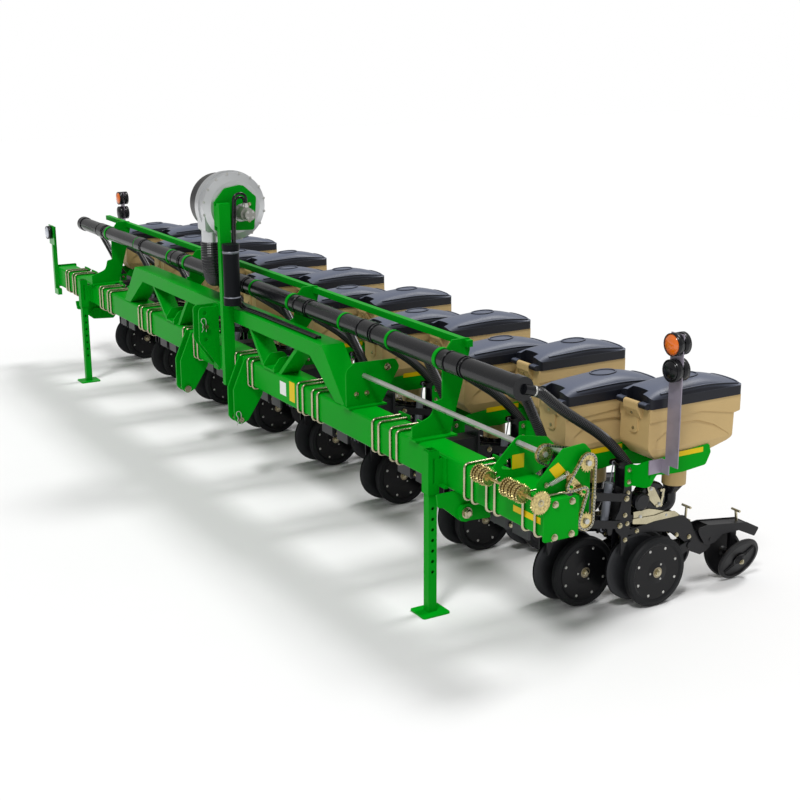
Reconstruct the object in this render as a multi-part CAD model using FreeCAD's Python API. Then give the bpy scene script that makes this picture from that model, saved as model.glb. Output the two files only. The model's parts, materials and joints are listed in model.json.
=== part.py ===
"""Mounted twin-row precision planter, in millimetres.

X runs across the machine (+X is its left side), Y runs from the tractor side
to the rear, Z is up and zero on the ground. Every driving size is named below.
Heights and depths of a row unit are given at its own place, Y from the toolbar.
"""
import FreeCAD, Part
import math
import os

# ---------------------------------------------------------------- row layout
ROW_PAIRS = 8
PAIR_SPACING = 965.2
TWIN_SPACING = 203.2
TWIN_STAGGER = 334.0

# ------------------------------------------------------------------- toolbar
TUBE = 177.8
TUBE_WALL = 9.5
TUBE_CORNER = 16.0
TUBE_TOP = 890.0
LEFT_OVERHANG = 547.0
RIGHT_OVERHANG = 452.0
END_PLATE_SIDE = 205.0
END_PLATE_THICK = 10.0
SEAT = 0.3

# -------------------------------------------------------------------- trusses
TRUSS_TUBE_HEIGHT = 95.0
TRUSS_TUBE_DEPTH = 152.0
TRUSS_TOP = 1205.0
TRUSS_BEND_X = 1640.0
TRUSS_FOOT_X = 1925.0
TRUSS_FOOT_WIDTH = 125.0
TRUSS_BRACE_THICK = 40.0

# ---------------------------------------------------------------- three-point
LOWER_PIN_SPAN = 965.2
LOWER_PIN_DIA = 36.6
LOWER_PIN_Y = -72.0
LOWER_PIN_Z = 478.0
HITCH_GAP = 78.0
HITCH_PLATE = 16.0
TOP_LINK_PIN_DIA = 31.8
TOP_LINK_HOLES = (945.0, 1040.0, 1135.0)
TOP_LINK_HOLE_Y = -103.0
TOP_LINK_GAP = 84.0
PIN_PLAY = 0.6

# ---------------------------------------------------------------- jack stands
JACK_LEFT_X = 3000.0
JACK_RIGHT_X = -2842.0
JACK_LEG = 51.0
JACK_WALL = 5.0
JACK_PLAY = 0.8
JACK_SLEEVE_WALL = 7.0
JACK_LEG_TOP = 925.0
JACK_Y = -66.0
JACK_FOOT_X = 150.0
JACK_FOOT_Y = 170.0
JACK_FOOT_THICK = 10.0
JACK_PIN_DIA = 19.0

# --------------------------------------------------------- gauge wheels, discs
GAUGE_RADIUS = 198.0
GAUGE_WIDTH = 55.0
GAUGE_INNER = 43.0
GAUGE_Y = 696.0
GAUGE_BORE = 20.0
GAUGE_ARM_BEYOND = 91.7
GAUGE_ARM_SLOPE = 17.06
GAUGE_ARM_PLATE = 5.4
GAUGE_PIVOT = 14.0
AXLE_PLAY = 0.05
DISC_RADIUS = 190.0
DISC_THICK = 3.5
DISC_Y = 605.0
DISC_Z = 226.0
DISC_TOE = 2.6
DISC_GAP = 5.2
DISC_BOSS = 24.0

# ------------------------------------------------------- row unit frame, links
FRAME_HALF = 40.0
FRAME_PLATE = 8.0
BEAM_PLATE = 6.0
MOUNT_PLATE = 14.0
MOUNT_WIDTH = 140.0
ARM_FRONT_Y = 222.0
ARM_REAR_Y = 457.0
ARM_LOW_Z = 556.0
ARM_RISE = 145.0
ARM_LEAN = 40.0
ARM_DROP = 56.0
ARM_BAR = 44.0
ARM_PLATE = 8.0
ARM_PIVOT = 12.0
EAR_PLATE = 10.0
SPRING_X = -15.0
SPRING_WIRE = 3.5
SPRING_BARREL = 22.0
SPRING_FOOT = (392.0, 470.0)
SPRING_PIN = 6.0
SPRING_HEAD = (452.0, 836.0)
SPRING_BAR = 5.0

# --------------------------------------------------------------- closing wheels
CLOSING_PIVOT_BACK = 143.0
CLOSING_PIVOT_UP = 8.0
CLOSING_BACK = 209.0
CLOSING_RADIUS = 140.0
CLOSING_WIDTH = 26.0
CLOSING_CANT = 20.0
CLOSING_HALF = 62.0
CLOSING_ARM_HALF = 50.0
CLOSING_ARM_PLATE = 6.0
CLOSING_PIN = 12.0

# ----------------------------------------------------------------- hoppers
HOPPER_WIDTH = 240.0
HOPPER_GAP = 17.2
HOPPER_FRONT = 543.0
HOPPER_REAR = 1174.0
HOPPER_RIM = 1150.0
HOPPER_FLOOR = 850.0
HOPPER_WALL = 7.0
HOPPER_STEP = 6.0
HOPPER_SCOOP = 11.0
HOPPER_WAIST = 845.0
HOPPER_WAIST_HALF = 90.0
HOPPER_SHOULDER = 930.0
SPOUT_Y = 835.0
SPOUT_DIA = 132.0
SPOUT_LOW = 672.0
METER_Y = 690.0
METER_Z = 600.0
METER_RADIUS = 100.0
SADDLE_PLATE = 6.0
SADDLE_TOP = 901.0
FLANGE_TOP = 829.0
FLANGE_LOW = 709.0

# -------------------------------------------------------------------- lids
LID_OVERHANG = 6.0
LID_WALL = 7.0
LID_BAND = 52.0
LID_CROWN = 62.0
LID_HINGE_DROP = 21.0
LID_HINGE_RISE = 18.0
LID_KNUCKLE = 16.0
LID_NOTCH = 62.0
LID_PIN = 6.0
BOSS_HALF = 56.0

# --------------------------------------------------------------- air system
PIPE_DIA = 114.3
PIPE_Y = 180.0
PIPE_Z = 1325.0
PIPE_LEFT_X = 3480.0
PIPE_RIGHT_X = -3480.0
PIPE_SEAT = 0.3
RAIL_SIDE = 38.0
RAIL_Y = 335.0
RAIL_Z = 1396.0
OUTER_SUPPORT_X = 2725.0
INNER_SUPPORT_X = 905.0
SUPPORT_PLATE = 10.0
HOSE_DIA = 48.0
OUTLET_Y = 243.0
OUTLET_Z = 1307.0
HOSE_END_Y = 592.0
HOSE_END_Z = 738.0
DUCT_DIA = 132.0
FAN_X = 150.0
FAN_Y = 80.0
FAN_Z = 1885.0
FAN_RADIUS = 240.0
FAN_WIDTH = 170.0
FAN_DRUM_RADIUS = 200.0
FAN_DRUM_WIDTH = 165.0
FAN_OUTLET_Y = -75.0
FAN_OUTLET_DIA = 122.0
FAN_OUTLET_LOW = 1650.0
MOTOR_Y = 122.0
MOTOR_Z = 1843.0
POST_X = 305.0
POST_WIDTH = 45.0
POST_DEPTH = 80.0
POST_TOP = 1925.0
CANISTER_DIA = 111.0
CANISTER_LOW = 1248.0
CANISTER_TOP = 1664.0

# ------------------------------------------------------------------- drive
SHAFT_Y = 103.0
SHAFT_Z = 1078.0
SHAFT_ACROSS = 25.4
DRIVE_PLATE_X = 1975.0
END_PLATE_INNER_X = 3545.0
END_PLATE_OUTER_X = 3835.0
COUNTER_Y = 292.0
COUNTER_Z = 1030.0
DRIVEN_Y = 289.0
DRIVEN_Z = 732.0
CHAIN_PITCH = 15.875
CHAIN_ROLLER = 10.1
CHAIN_INNER = 9.6
CHAIN_LINK = 1.8
CHAIN_LINK_HALF = 6.6
OUTER_CHAIN_X = 3866.0
INNER_CHAIN_X = 3770.0
TEETH_SHAFT = 18
TEETH_COUNTER = 18
TEETH_DRIVEN = 17
TEETH_IDLER = 9
IDLER_STUD = 8.0
SPARE_Y = -42.0
SPARE_Z = 908.0
SPARE_BOLT = 8.0
SPARE_ROD = (3400.0, 3951.0)
SPARE_BRACKET_X = 3640.0

# ------------------------------------------------------------------- lamps
LAMP_CLEAR = 26.0
LAMP_PLATE_WIDTH = 96.0
LAMP_RADIUS = 70.0
LAMP_Y = 635.0
LAMP_TOP = 1560.0
LAMP_HEIGHTS = (1505.0, 1368.0)

V = FreeCAD.Vector
X_AXIS = V(1, 0, 0)
Y_AXIS = V(0, 1, 0)

# ------------------------------------------------------- values that follow
HOPPER_SHIFT = (HOPPER_WIDTH + 2.0 * LID_OVERHANG + HOPPER_GAP - TWIN_SPACING) / 2.0
OUTER_PAIR = PAIR_SPACING * (ROW_PAIRS - 1) / 2.0
LEFT_END = OUTER_PAIR + LEFT_OVERHANG
RIGHT_END = -OUTER_PAIR - RIGHT_OVERHANG
TUBE_BOTTOM = TUBE_TOP - TUBE
ARM_INNER = FRAME_HALF + SEAT
ARM_OUTER = ARM_INNER + ARM_PLATE
EAR_INNER = ARM_OUTER + SEAT
GAUGE_ARM = GAUGE_RADIUS + GAUGE_ARM_BEYOND
GAUGE_PIVOT_Y = GAUGE_Y + GAUGE_ARM * math.cos(math.radians(GAUGE_ARM_SLOPE))
GAUGE_PIVOT_Z = GAUGE_RADIUS + GAUGE_ARM * math.sin(math.radians(GAUGE_ARM_SLOPE))
CLOSING_PIVOT_Y = GAUGE_PIVOT_Y + CLOSING_PIVOT_BACK
CLOSING_PIVOT_Z = GAUGE_PIVOT_Z + CLOSING_PIVOT_UP
CLOSING_Y = CLOSING_PIVOT_Y + CLOSING_BACK
LID_HINGE_Y = HOPPER_FRONT - LID_HINGE_DROP
LID_HINGE_Z = HOPPER_RIM + LID_HINGE_RISE
LAMP_OFFSET = HOPPER_WIDTH / 2.0 + LAMP_CLEAR
HEX_RADIUS = SHAFT_ACROSS / math.sqrt(3.0)


# ------------------------------------------------------------ shape helpers
def box(x0, x1, y0, y1, z0, z1):
    return Part.makeBox(x1 - x0, y1 - y0, z1 - z0, V(x0, y0, z0))


def rod(start, end, radius):
    a = V(*start)
    b = V(*end)
    return Part.makeCylinder(radius, (b - a).Length, a, b - a)


def cross_rod(x0, x1, y, z, radius):
    return rod((x0, y, z), (x1, y, z), radius)


def half_angle(before, at, after):
    return (before - at).getAngle(after - at) / 2.0


def corner(before, at, after, radius):
    """Tangent points and middle of the arc that rounds one corner."""
    half = half_angle(before, at, after)
    to_before = (before - at).normalize()
    to_after = (after - at).normalize()
    reach = radius / math.tan(half)
    bisector = (to_before + to_after).normalize()
    middle = at + bisector * (radius / math.sin(half) - radius)
    return at + to_before * reach, middle, at + to_after * reach


def outline(points):
    """Closed wire through (point, corner radius) pairs."""
    count = len(points)
    edges = []
    starts = []
    for i, (at, radius) in enumerate(points):
        if radius > 0:
            starts.append(corner(points[i - 1][0], at, points[(i + 1) % count][0], radius))
        else:
            starts.append((at, None, at))
    for i, (first, middle, last) in enumerate(starts):
        if middle is not None:
            edges.append(Part.Arc(first, middle, last).toShape())
        following = starts[(i + 1) % count][0]
        if (following - last).Length > 1e-6:
            edges.append(Part.LineSegment(last, following).toShape())
    return Part.Wire(edges)


def side_plate(points, x0, x1):
    """Plate across X from an outline of (y, z, corner radius)."""
    wire = outline([(V(x0, y, z), r) for y, z, r in points])
    return Part.Face(wire).extrude(V(x1 - x0, 0, 0))


def front_plate(points, y0, y1):
    """Plate across Y from an outline of (x, z, corner radius)."""
    wire = outline([(V(x, y0, z), r) for x, z, r in points])
    return Part.Face(wire).extrude(V(0, y1 - y0, 0))


def flat_plate(points, z0, z1):
    """Plate across Z from an outline of (x, y, corner radius)."""
    wire = outline([(V(x, y, z0), r) for x, y, r in points])
    return Part.Face(wire).extrude(V(0, 0, z1 - z0))


def about(points, y, z):
    """An outline given from a centre, moved to that centre."""
    return [(y + dy, z + dz, r) for dy, dz, r in points]


def turned(profile, center, axis=X_AXIS):
    """Solid of revolution from (along X, radius) points, about an X axis."""
    y, z = center
    points = [V(x, y, z + r) for x, r in profile]
    wire = Part.makePolygon(points + [points[0]])
    return Part.Face(wire).revolve(V(0, y, z), axis, 360)


def turned_y(profile, x, y, z, facing):
    """Solid of revolution about a Y axis, growing towards facing (1 or -1)."""
    points = [V(x, y + facing * along, z + r) for along, r in profile]
    wire = Part.makePolygon(points + [points[0]])
    return Part.Face(wire).revolve(V(x, y, z), Y_AXIS, 360)


def smooth_path(points):
    """Straight runs joined by arcs as large as the two runs at each corner allow."""
    share = 0.45
    spots = [V(*p) for p in points]
    edges = []
    last = spots[0]
    for i in range(1, len(spots) - 1):
        before, at, after = spots[i - 1], spots[i], spots[i + 1]
        run = min((at - before).Length, (after - at).Length)
        radius = share * run * math.tan(half_angle(before, at, after))
        first, middle, end = corner(before, at, after, radius)
        edges.append(Part.LineSegment(last, first).toShape())
        edges.append(Part.Arc(first, middle, end).toShape())
        last = end
    edges.append(Part.LineSegment(last, spots[-1]).toShape())
    return Part.Wire(edges)


def hose(points, radius):
    """Round bar or hose of one radius along a smooth path."""
    path = smooth_path(points)
    start = V(*points[0])
    ring = Part.Wire(Part.makeCircle(radius, start, V(*points[1]) - start))
    return path.makePipeShell([ring], True, True)


def fused(shapes):
    whole = shapes[0].multiFuse(shapes[1:]) if len(shapes) > 1 else shapes[0]
    return whole.removeSplitter()


def moved(shape, x, y=0.0, z=0.0):
    copy = shape.copy()
    copy.translate(V(x, y, z))
    return copy


def mirrored_x(shape, plane=0.0):
    return shape.mirror(V(plane, 0, 0), X_AXIS)


# ------------------------------------------------------------- unit layout
def pair_centres():
    first = -PAIR_SPACING * (ROW_PAIRS - 1) / 2.0
    return [first + PAIR_SPACING * i for i in range(ROW_PAIRS)]


def unit_places():
    """(x, y, shift) of each row unit: the front one of a pair, then the rear."""
    places = []
    for centre in pair_centres():
        places.append((centre - TWIN_SPACING / 2.0, 0.0, -HOPPER_SHIFT))
        places.append((centre + TWIN_SPACING / 2.0, TWIN_STAGGER, HOPPER_SHIFT))
    return places


def at_units(*shapes):
    return [moved(shape, x, y) for x, y, shift in unit_places() for shape in shapes]


def at_hoppers(*shapes):
    return [moved(shape, x + shift, y) for x, y, shift in unit_places() for shape in shapes]


# ------------------------------------------------------------------ toolbar
def square_outline(side, radius, centre_y, centre_z):
    h = side / 2.0
    signs = ((-1, -1), (1, -1), (1, 1), (-1, 1))
    return [(centre_y + a * h, centre_z + b * h, radius) for a, b in signs]


def toolbar():
    y = TUBE / 2.0
    z = TUBE_TOP - TUBE / 2.0
    skin = side_plate(square_outline(TUBE, TUBE_CORNER, y, z), RIGHT_END, LEFT_END)
    inside = square_outline(TUBE - 2 * TUBE_WALL, TUBE_CORNER - TUBE_WALL, y, z)
    body = skin.cut(side_plate(inside, RIGHT_END - 1, LEFT_END + 1))
    cap = square_outline(END_PLATE_SIDE, 12.0, y, z)
    left_cap = side_plate(cap, LEFT_END, LEFT_END + END_PLATE_THICK)
    right_cap = side_plate(cap, RIGHT_END - END_PLATE_THICK, RIGHT_END)
    return [fused([body, left_cap, right_cap])]


# -------------------------------------------------------------------- truss
def truss():
    """Top beam, two slanting legs, four braces and their shoes, weld gaps between them."""
    low = TRUSS_TOP - TRUSS_TUBE_HEIGHT
    inner_bend = TRUSS_BEND_X - TRUSS_TUBE_HEIGHT * 1.75
    beam = [(TRUSS_BEND_X, TRUSS_TOP, 0.0), (-TRUSS_BEND_X, TRUSS_TOP, 0.0),
            (-inner_bend, low, 0.0), (inner_bend, low, 0.0)]
    pieces = [front_plate(beam, 0.0, TRUSS_TUBE_DEPTH)]
    for side in (-1, 1):
        pieces.append(truss_leg(side, inner_bend, low))
        for foot, head in ((1010.0, 1270.0), (760.0, 560.0)):
            pieces.append(brace(side * foot, side * head, low - SEAT))
        pieces.append(brace_shoe(side * 885.0))
    return pieces


def truss_leg(side, inner_bend, low):
    gap_x = 0.5
    gap_z = 0.3
    inner_foot = TRUSS_FOOT_X - TRUSS_FOOT_WIDTH
    leg = [(TRUSS_BEND_X + gap_x, TRUSS_TOP - gap_z), (TRUSS_FOOT_X, TUBE_TOP),
           (inner_foot, TUBE_TOP), (inner_bend + gap_x, low - gap_z)]
    return front_plate([(side * x, z, 0.0) for x, z in leg], 0.0, TRUSS_TUBE_DEPTH)


def brace(foot_x, head_x, head_z):
    half = TRUSS_BRACE_THICK / 2.0
    bar = [(foot_x - half, TUBE_TOP, 0.0), (foot_x + half, TUBE_TOP, 0.0),
           (head_x + half, head_z, 0.0), (head_x - half, head_z, 0.0)]
    return front_plate(bar, 12.0, TRUSS_TUBE_DEPTH - 12.0)


def brace_shoe(x):
    half = 82.5
    cheek = 14.0
    cup = [(-8.0, TUBE_TOP, 0.0), (TUBE + 8.0, TUBE_TOP, 0.0), (TUBE + 8.0, TUBE_TOP + 30.0, 8.0),
           (TUBE - 40.0, TUBE_TOP + 95.0, 40.0), (40.0, TUBE_TOP + 95.0, 40.0),
           (-8.0, TUBE_TOP + 30.0, 8.0)]
    right = side_plate(cup, x - half, x - half + cheek)
    left = side_plate(cup, x + half - cheek, x + half)
    sole = box(x - half, x + half, -8.0, TUBE + 8.0, TUBE_TOP, TUBE_TOP + cheek)
    return fused([right, left, sole])


# --------------------------------------------------------------- three-point
def lower_hitch_plate(x0):
    nose_y = -112.0
    wedge = [(0.0, TUBE_TOP + 6.0, 6.0), (-22.0, TUBE_TOP + 6.0, 18.0),
             (nose_y, 690.0, 14.0), (nose_y, LOWER_PIN_Z, 36.0), (LOWER_PIN_Y, LOWER_PIN_Z - 40.0, 30.0),
             (LOWER_PIN_Y + 62.0, LOWER_PIN_Z - 12.0, 22.0), (100.0, TUBE_BOTTOM - 80.0, 14.0),
             (112.0, TUBE_BOTTOM, 0.0), (0.0, TUBE_BOTTOM, 0.0)]
    plate = side_plate(wedge, x0, x0 + HITCH_PLATE)
    hole = cross_rod(x0 - 1, x0 + HITCH_PLATE + 1, LOWER_PIN_Y, LOWER_PIN_Z, LOWER_PIN_DIA / 2.0 + PIN_PLAY)
    return plate.cut(hole)


def top_link_plate(x0):
    arm = [(0.0, 720.0, 0.0), (-151.0, 935.0, 30.0), (-148.0, 1178.0, 34.0),
           (0.0, 1178.0, 0.0)]
    plate = side_plate(arm, x0, x0 + HITCH_PLATE)
    radius = TOP_LINK_PIN_DIA / 2.0 + PIN_PLAY
    for z in TOP_LINK_HOLES:
        plate = plate.cut(cross_rod(x0 - 1, x0 + HITCH_PLATE + 1, TOP_LINK_HOLE_Y, z, radius))
    return plate


def hitch_plates():
    plates = []
    for side in (-1, 1):
        centre = side * LOWER_PIN_SPAN / 2.0
        plates.append(lower_hitch_plate(centre + HITCH_GAP / 2.0))
        plates.append(lower_hitch_plate(centre - HITCH_GAP / 2.0 - HITCH_PLATE))
    half = TOP_LINK_GAP / 2.0
    mast = [top_link_plate(half), top_link_plate(-half - HITCH_PLATE)]
    backing = box(-half, half, -12.0, 0.0, TUBE_BOTTOM, TUBE_TOP)
    plates.append(fused(mast + [backing]))
    return plates


def hitch_pins():
    half = HITCH_GAP / 2.0 + HITCH_PLATE + 26.0
    pins = []
    for side in (-1, 1):
        centre = side * LOWER_PIN_SPAN / 2.0
        pins.append(headed_pin(centre, half, LOWER_PIN_Y, LOWER_PIN_Z, LOWER_PIN_DIA, side))
    half = TOP_LINK_GAP / 2.0 + HITCH_PLATE + 22.0
    pins.append(headed_pin(0.0, half, TOP_LINK_HOLE_Y, TOP_LINK_HOLES[1], TOP_LINK_PIN_DIA, 1))
    return pins


def headed_pin(x, half, y, z, dia, side):
    shank = cross_rod(x - half, x + half, y, z, dia / 2.0)
    head = rod((x - side * half, y, z), (x - side * (half - 10.0), y, z), dia / 2.0 + 7.0)
    return fused([shank, head])


# -------------------------------------------------------------- jack stands
def jack_places():
    """(x, outward side) of the two parking stands."""
    return ((JACK_LEFT_X, 1), (JACK_RIGHT_X, -1))


def square_bar(x, y, half, z0, z1):
    return box(x - half, x + half, y - half, y + half, z0, z1)


def jack_leg(x):
    half = JACK_LEG / 2.0
    outer = square_bar(x, JACK_Y, half, JACK_FOOT_THICK, JACK_LEG_TOP)
    leg = outer.cut(square_bar(x, JACK_Y, half - JACK_WALL, JACK_FOOT_THICK, JACK_LEG_TOP))
    for step in range(7):
        z = 240.0 + 60.0 * step
        leg = leg.cut(cross_rod(x - half - 1, x + half + 1, JACK_Y, z, JACK_PIN_DIA / 2.0))
    pad = [(x - JACK_FOOT_X / 2.0, JACK_Y - JACK_FOOT_Y / 2.0, 16.0),
           (x + JACK_FOOT_X / 2.0, JACK_Y - JACK_FOOT_Y / 2.0, 16.0),
           (x + JACK_FOOT_X / 2.0, JACK_Y + JACK_FOOT_Y / 2.0, 16.0),
           (x - JACK_FOOT_X / 2.0, JACK_Y + JACK_FOOT_Y / 2.0, 16.0)]
    return fused([leg, flat_plate(pad, 0.0, JACK_FOOT_THICK)])


def jack_sleeve(x, side):
    """Square sleeve on two flanges that bolt to the tube's front face."""
    inner = JACK_LEG / 2.0 + JACK_PLAY
    outer = inner + JACK_SLEEVE_WALL
    low = 682.0
    high = 918.0
    sleeve = square_bar(x, JACK_Y, outer, low, high)
    sleeve = sleeve.cut(square_bar(x, JACK_Y, inner, low - 1, high + 1))
    slot = box(x - outer - 1, x + outer + 1, JACK_Y - 6.0, JACK_Y + 6.0, 742.0, 880.0)
    web = box(x - outer, x + outer, JACK_Y + outer, -10.0, 728.0, 872.0)
    flange = box(x - outer - 34.0, x + outer + 34.0, -10.0, 0.0, 722.0, 880.0)
    tie = box(0.0, 90.0, JACK_Y + outer, -10.0, 722.0, 734.0)
    if side < 0:
        tie = mirrored_x(tie)
    return fused([sleeve.cut(slot), web, flange, moved(tie, x)])


def drop_bracket(x, side):
    """Plate under the tube beside each stand, with a round cross boss."""
    boss_y = 72.0
    boss_z = 589.0
    plate = [(-104.0, TUBE_BOTTOM, 6.0), (-94.0, 639.0, 14.0), (-63.0, 633.0, 10.0),
             (20.0, 562.0, 20.0), (51.0, 537.0, 16.0), (231.0, 526.0, 16.0), (252.0, 546.0, 12.0),
             (198.0, TUBE_BOTTOM, 0.0)]
    body = side_plate(plate, 112.0, 124.0)
    boss = cross_rod(94.0, 142.0, boss_y, boss_z, 50.0)
    whole = fused([body, boss])
    return moved(whole if side > 0 else mirrored_x(whole), x)


def jack_brackets():
    pieces = []
    for x, side in jack_places():
        pieces.append(jack_sleeve(x, side))
        pieces.append(drop_bracket(x, side))
    return pieces


# ---------------------------------------------------------------- row units
def link_pins(y):
    """(y, z) of the lower and the upper pin, with the lower one at depth y."""
    return ((y, ARM_LOW_Z), (y + ARM_LEAN, ARM_LOW_Z + ARM_RISE))


def pivot_holes(y, drop):
    holes = [cross_rod(-80.0, 80.0, py, pz - drop, ARM_PIVOT + AXLE_PLAY) for py, pz in link_pins(y)]
    return holes[0].fuse(holes[1])


def unit_mount(y_reach):
    back = TUBE + MOUNT_PLATE
    half = MOUNT_WIDTH / 2.0
    pieces = [box(-half, half, TUBE, back, 545.0, TUBE_TOP - 2.0)]
    if y_reach > 0:
        neck = box(-half + 12.0, half - 12.0, back, back + y_reach, 600.0, 790.0)
        hollow = box(-half + 20.0, half - 20.0, back - 1, back + y_reach + 1, 608.0, 782.0)
        pieces.append(neck.cut(hollow))
        pieces.append(box(-half, half, back + y_reach - MOUNT_PLATE, back + y_reach, 530.0, 830.0))
    y = ARM_FRONT_Y + y_reach
    low = ARM_LOW_Z
    high = ARM_LOW_Z + ARM_RISE
    ear = [(back + y_reach, low - 24.0, 0.0), (y + 20.0, low - 24.0, 18.0), (y + 24.0, low + 24.0, 12.0),
           (y + ARM_LEAN + 20.0, high - 30.0, 12.0), (y + ARM_LEAN + 22.0, high + 24.0, 18.0),
           (back + y_reach, high + 34.0, 0.0)]
    for x in (-EAR_INNER - EAR_PLATE, EAR_INNER):
        pieces.append(side_plate(ear, x, x + EAR_PLATE))
    return fused(pieces).cut(pivot_holes(y, 0.0))


def unit_mounts():
    front = unit_mount(0.0)
    rear = unit_mount(TWIN_STAGGER)
    return [moved(rear if y > 0 else front, x) for x, y, shift in unit_places()]


def parallel_arm(pin_y, pin_z):
    """Side bars of one link with the two cross pins that carry it."""
    half = ARM_BAR / 2.0
    rear_y = pin_y + ARM_REAR_Y - ARM_FRONT_Y
    rear_z = pin_z - ARM_DROP
    bar = [(pin_y - 20.0, pin_z - half, 16.0), (rear_y + 20.0, rear_z - half, 16.0),
           (rear_y + 20.0, rear_z + half, 16.0), (pin_y - 20.0, pin_z + half, 16.0)]
    front_half = EAR_INNER + EAR_PLATE + 4.0
    pieces = [cross_rod(-front_half, front_half, pin_y, pin_z, ARM_PIVOT)]
    pieces.append(cross_rod(-ARM_OUTER, ARM_OUTER, rear_y, rear_z, ARM_PIVOT))
    for x in (-ARM_OUTER, ARM_INNER):
        pieces.append(side_plate(bar, x, x + ARM_PLATE))
    return pieces


def spring_hanger():
    """Tabs below the lower link with the pin that the down spring hooks on."""
    y, z = SPRING_FOOT
    tab = [(y - 22.0, z + 62.0, 0.0), (y - 13.0, z - 12.0, 11.0), (y + 13.0, z - 12.0, 11.0),
           (y + 22.0, z + 50.0, 0.0)]
    pieces = [side_plate(tab, x, x + ARM_PLATE) for x in (-ARM_OUTER, ARM_INNER)]
    pieces.append(cross_rod(-ARM_OUTER, ARM_OUTER, y, z, SPRING_PIN))
    return pieces


def parallel_arms():
    low, high = link_pins(ARM_FRONT_Y)
    lower = fused(parallel_arm(*low) + spring_hanger())
    upper = fused(parallel_arm(*high))
    return at_units(lower, upper)


def unit_side():
    """Left shank plate with the main beam plate welded inside it, and the beam's lip."""
    ty = GAUGE_PIVOT_Y
    tz = GAUGE_PIVOT_Z
    shank = [(484.0, FLANGE_TOP, 6.0), (484.0, 700.0, 0.0), (474.0, 640.0, 20.0), (458.0, 579.0, 30.0),
             (432.0, 539.0, 25.0), (435.0, 473.0, 30.0), (476.0, 432.0, 20.0), (478.0, 318.0, 5.0),
             (492.0, 322.0, 5.0), (521.0, 417.0, 20.0), (537.0, 473.0, 20.0), (536.0, FLANGE_TOP, 6.0)]
    beam = [(500.0, 458.0, 0.0), (542.0, 459.0, 0.0), (839.0, 480.0, 0.0), (ty - 50.0, tz + 182.0, 10.0),
            (ty + 3.0, tz + 138.0, 14.0), (ty + 32.0, tz + 78.0, 16.0), (ty + 128.0, tz + 36.0, 10.0),
            (ty + 168.0, tz + 14.0, 8.0), (ty + 160.0, tz - 43.0, 8.0), (ty + 127.0, tz - 64.0, 8.0),
            (ty + 85.0, tz - 76.0, 8.0), (ty + 6.0, tz - 39.0, 16.0), (ty - 22.0, tz + 14.0, 12.0),
            (ty - 75.0, tz + 59.0, 12.0), (828.0, 389.0, 12.0), (704.0, 413.0, 0.0),
            (544.0, 426.0, 0.0), (500.0, 426.0, 0.0)]
    lip = [(545.0, 459.0, 0.0), (839.0, 480.0, 0.0), (839.0, 485.0, 0.0), (545.0, 464.0, 0.0)]
    inner = FRAME_HALF - FRAME_PLATE
    tab = [(440.0, 824.0, 6.0), (444.0, 848.0, 10.0), (500.0, 850.0, 10.0), (500.0, 800.0, 0.0)]
    pieces = [side_plate(shank, inner, FRAME_HALF), side_plate(beam, inner - FRAME_PLATE, inner),
              side_plate(lip, inner - FRAME_PLATE, FRAME_HALF + 4.0), side_plate(tab, inner, FRAME_HALF)]
    side = fused(pieces).cut(pivot_holes(ARM_REAR_Y, ARM_DROP))
    side = side.cut(cross_rod(0.0, 60.0, ty, tz, GAUGE_PIVOT + AXLE_PLAY))
    side = side.cut(cross_rod(0.0, 60.0, CLOSING_PIVOT_Y, CLOSING_PIVOT_Z, CLOSING_PIN + AXLE_PLAY))
    return side.cut(cross_rod(0.0, 60.0, SPRING_HEAD[0], SPRING_HEAD[1], SPRING_BAR + AXLE_PLAY))


def unit_pins():
    """Cross pins of the gauge arms and the closing arm, and the spring's bar."""
    arm_face = FRAME_HALF - FRAME_PLATE + SEAT + GAUGE_ARM_PLATE
    gauge = [cross_rod(-arm_face - 6.0, arm_face + 6.0, GAUGE_PIVOT_Y, GAUGE_PIVOT_Z, GAUGE_PIVOT)]
    for side in (-1, 1):
        x0, x1 = sorted((side * (arm_face + SEAT), side * (arm_face + 6.0)))
        gauge.append(cross_rod(x0, x1, GAUGE_PIVOT_Y, GAUGE_PIVOT_Z, 21.0))
    closing = [cross_rod(-CLOSING_ARM_HALF - 3.0, CLOSING_ARM_HALF + 3.0, CLOSING_PIVOT_Y,
                         CLOSING_PIVOT_Z, CLOSING_PIN)]
    for side in (-1, 1):
        x0, x1 = sorted((side * (FRAME_HALF - FRAME_PLATE + SEAT),
                         side * (CLOSING_ARM_HALF - CLOSING_ARM_PLATE - SEAT)))
        closing.append(cross_rod(x0, x1, CLOSING_PIVOT_Y, CLOSING_PIVOT_Z, 16.0))
    bar = cross_rod(-FRAME_HALF - 4.0, FRAME_HALF + 4.0, SPRING_HEAD[0], SPRING_HEAD[1], SPRING_BAR)
    return [fused(gauge), fused(closing), bar]


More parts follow.
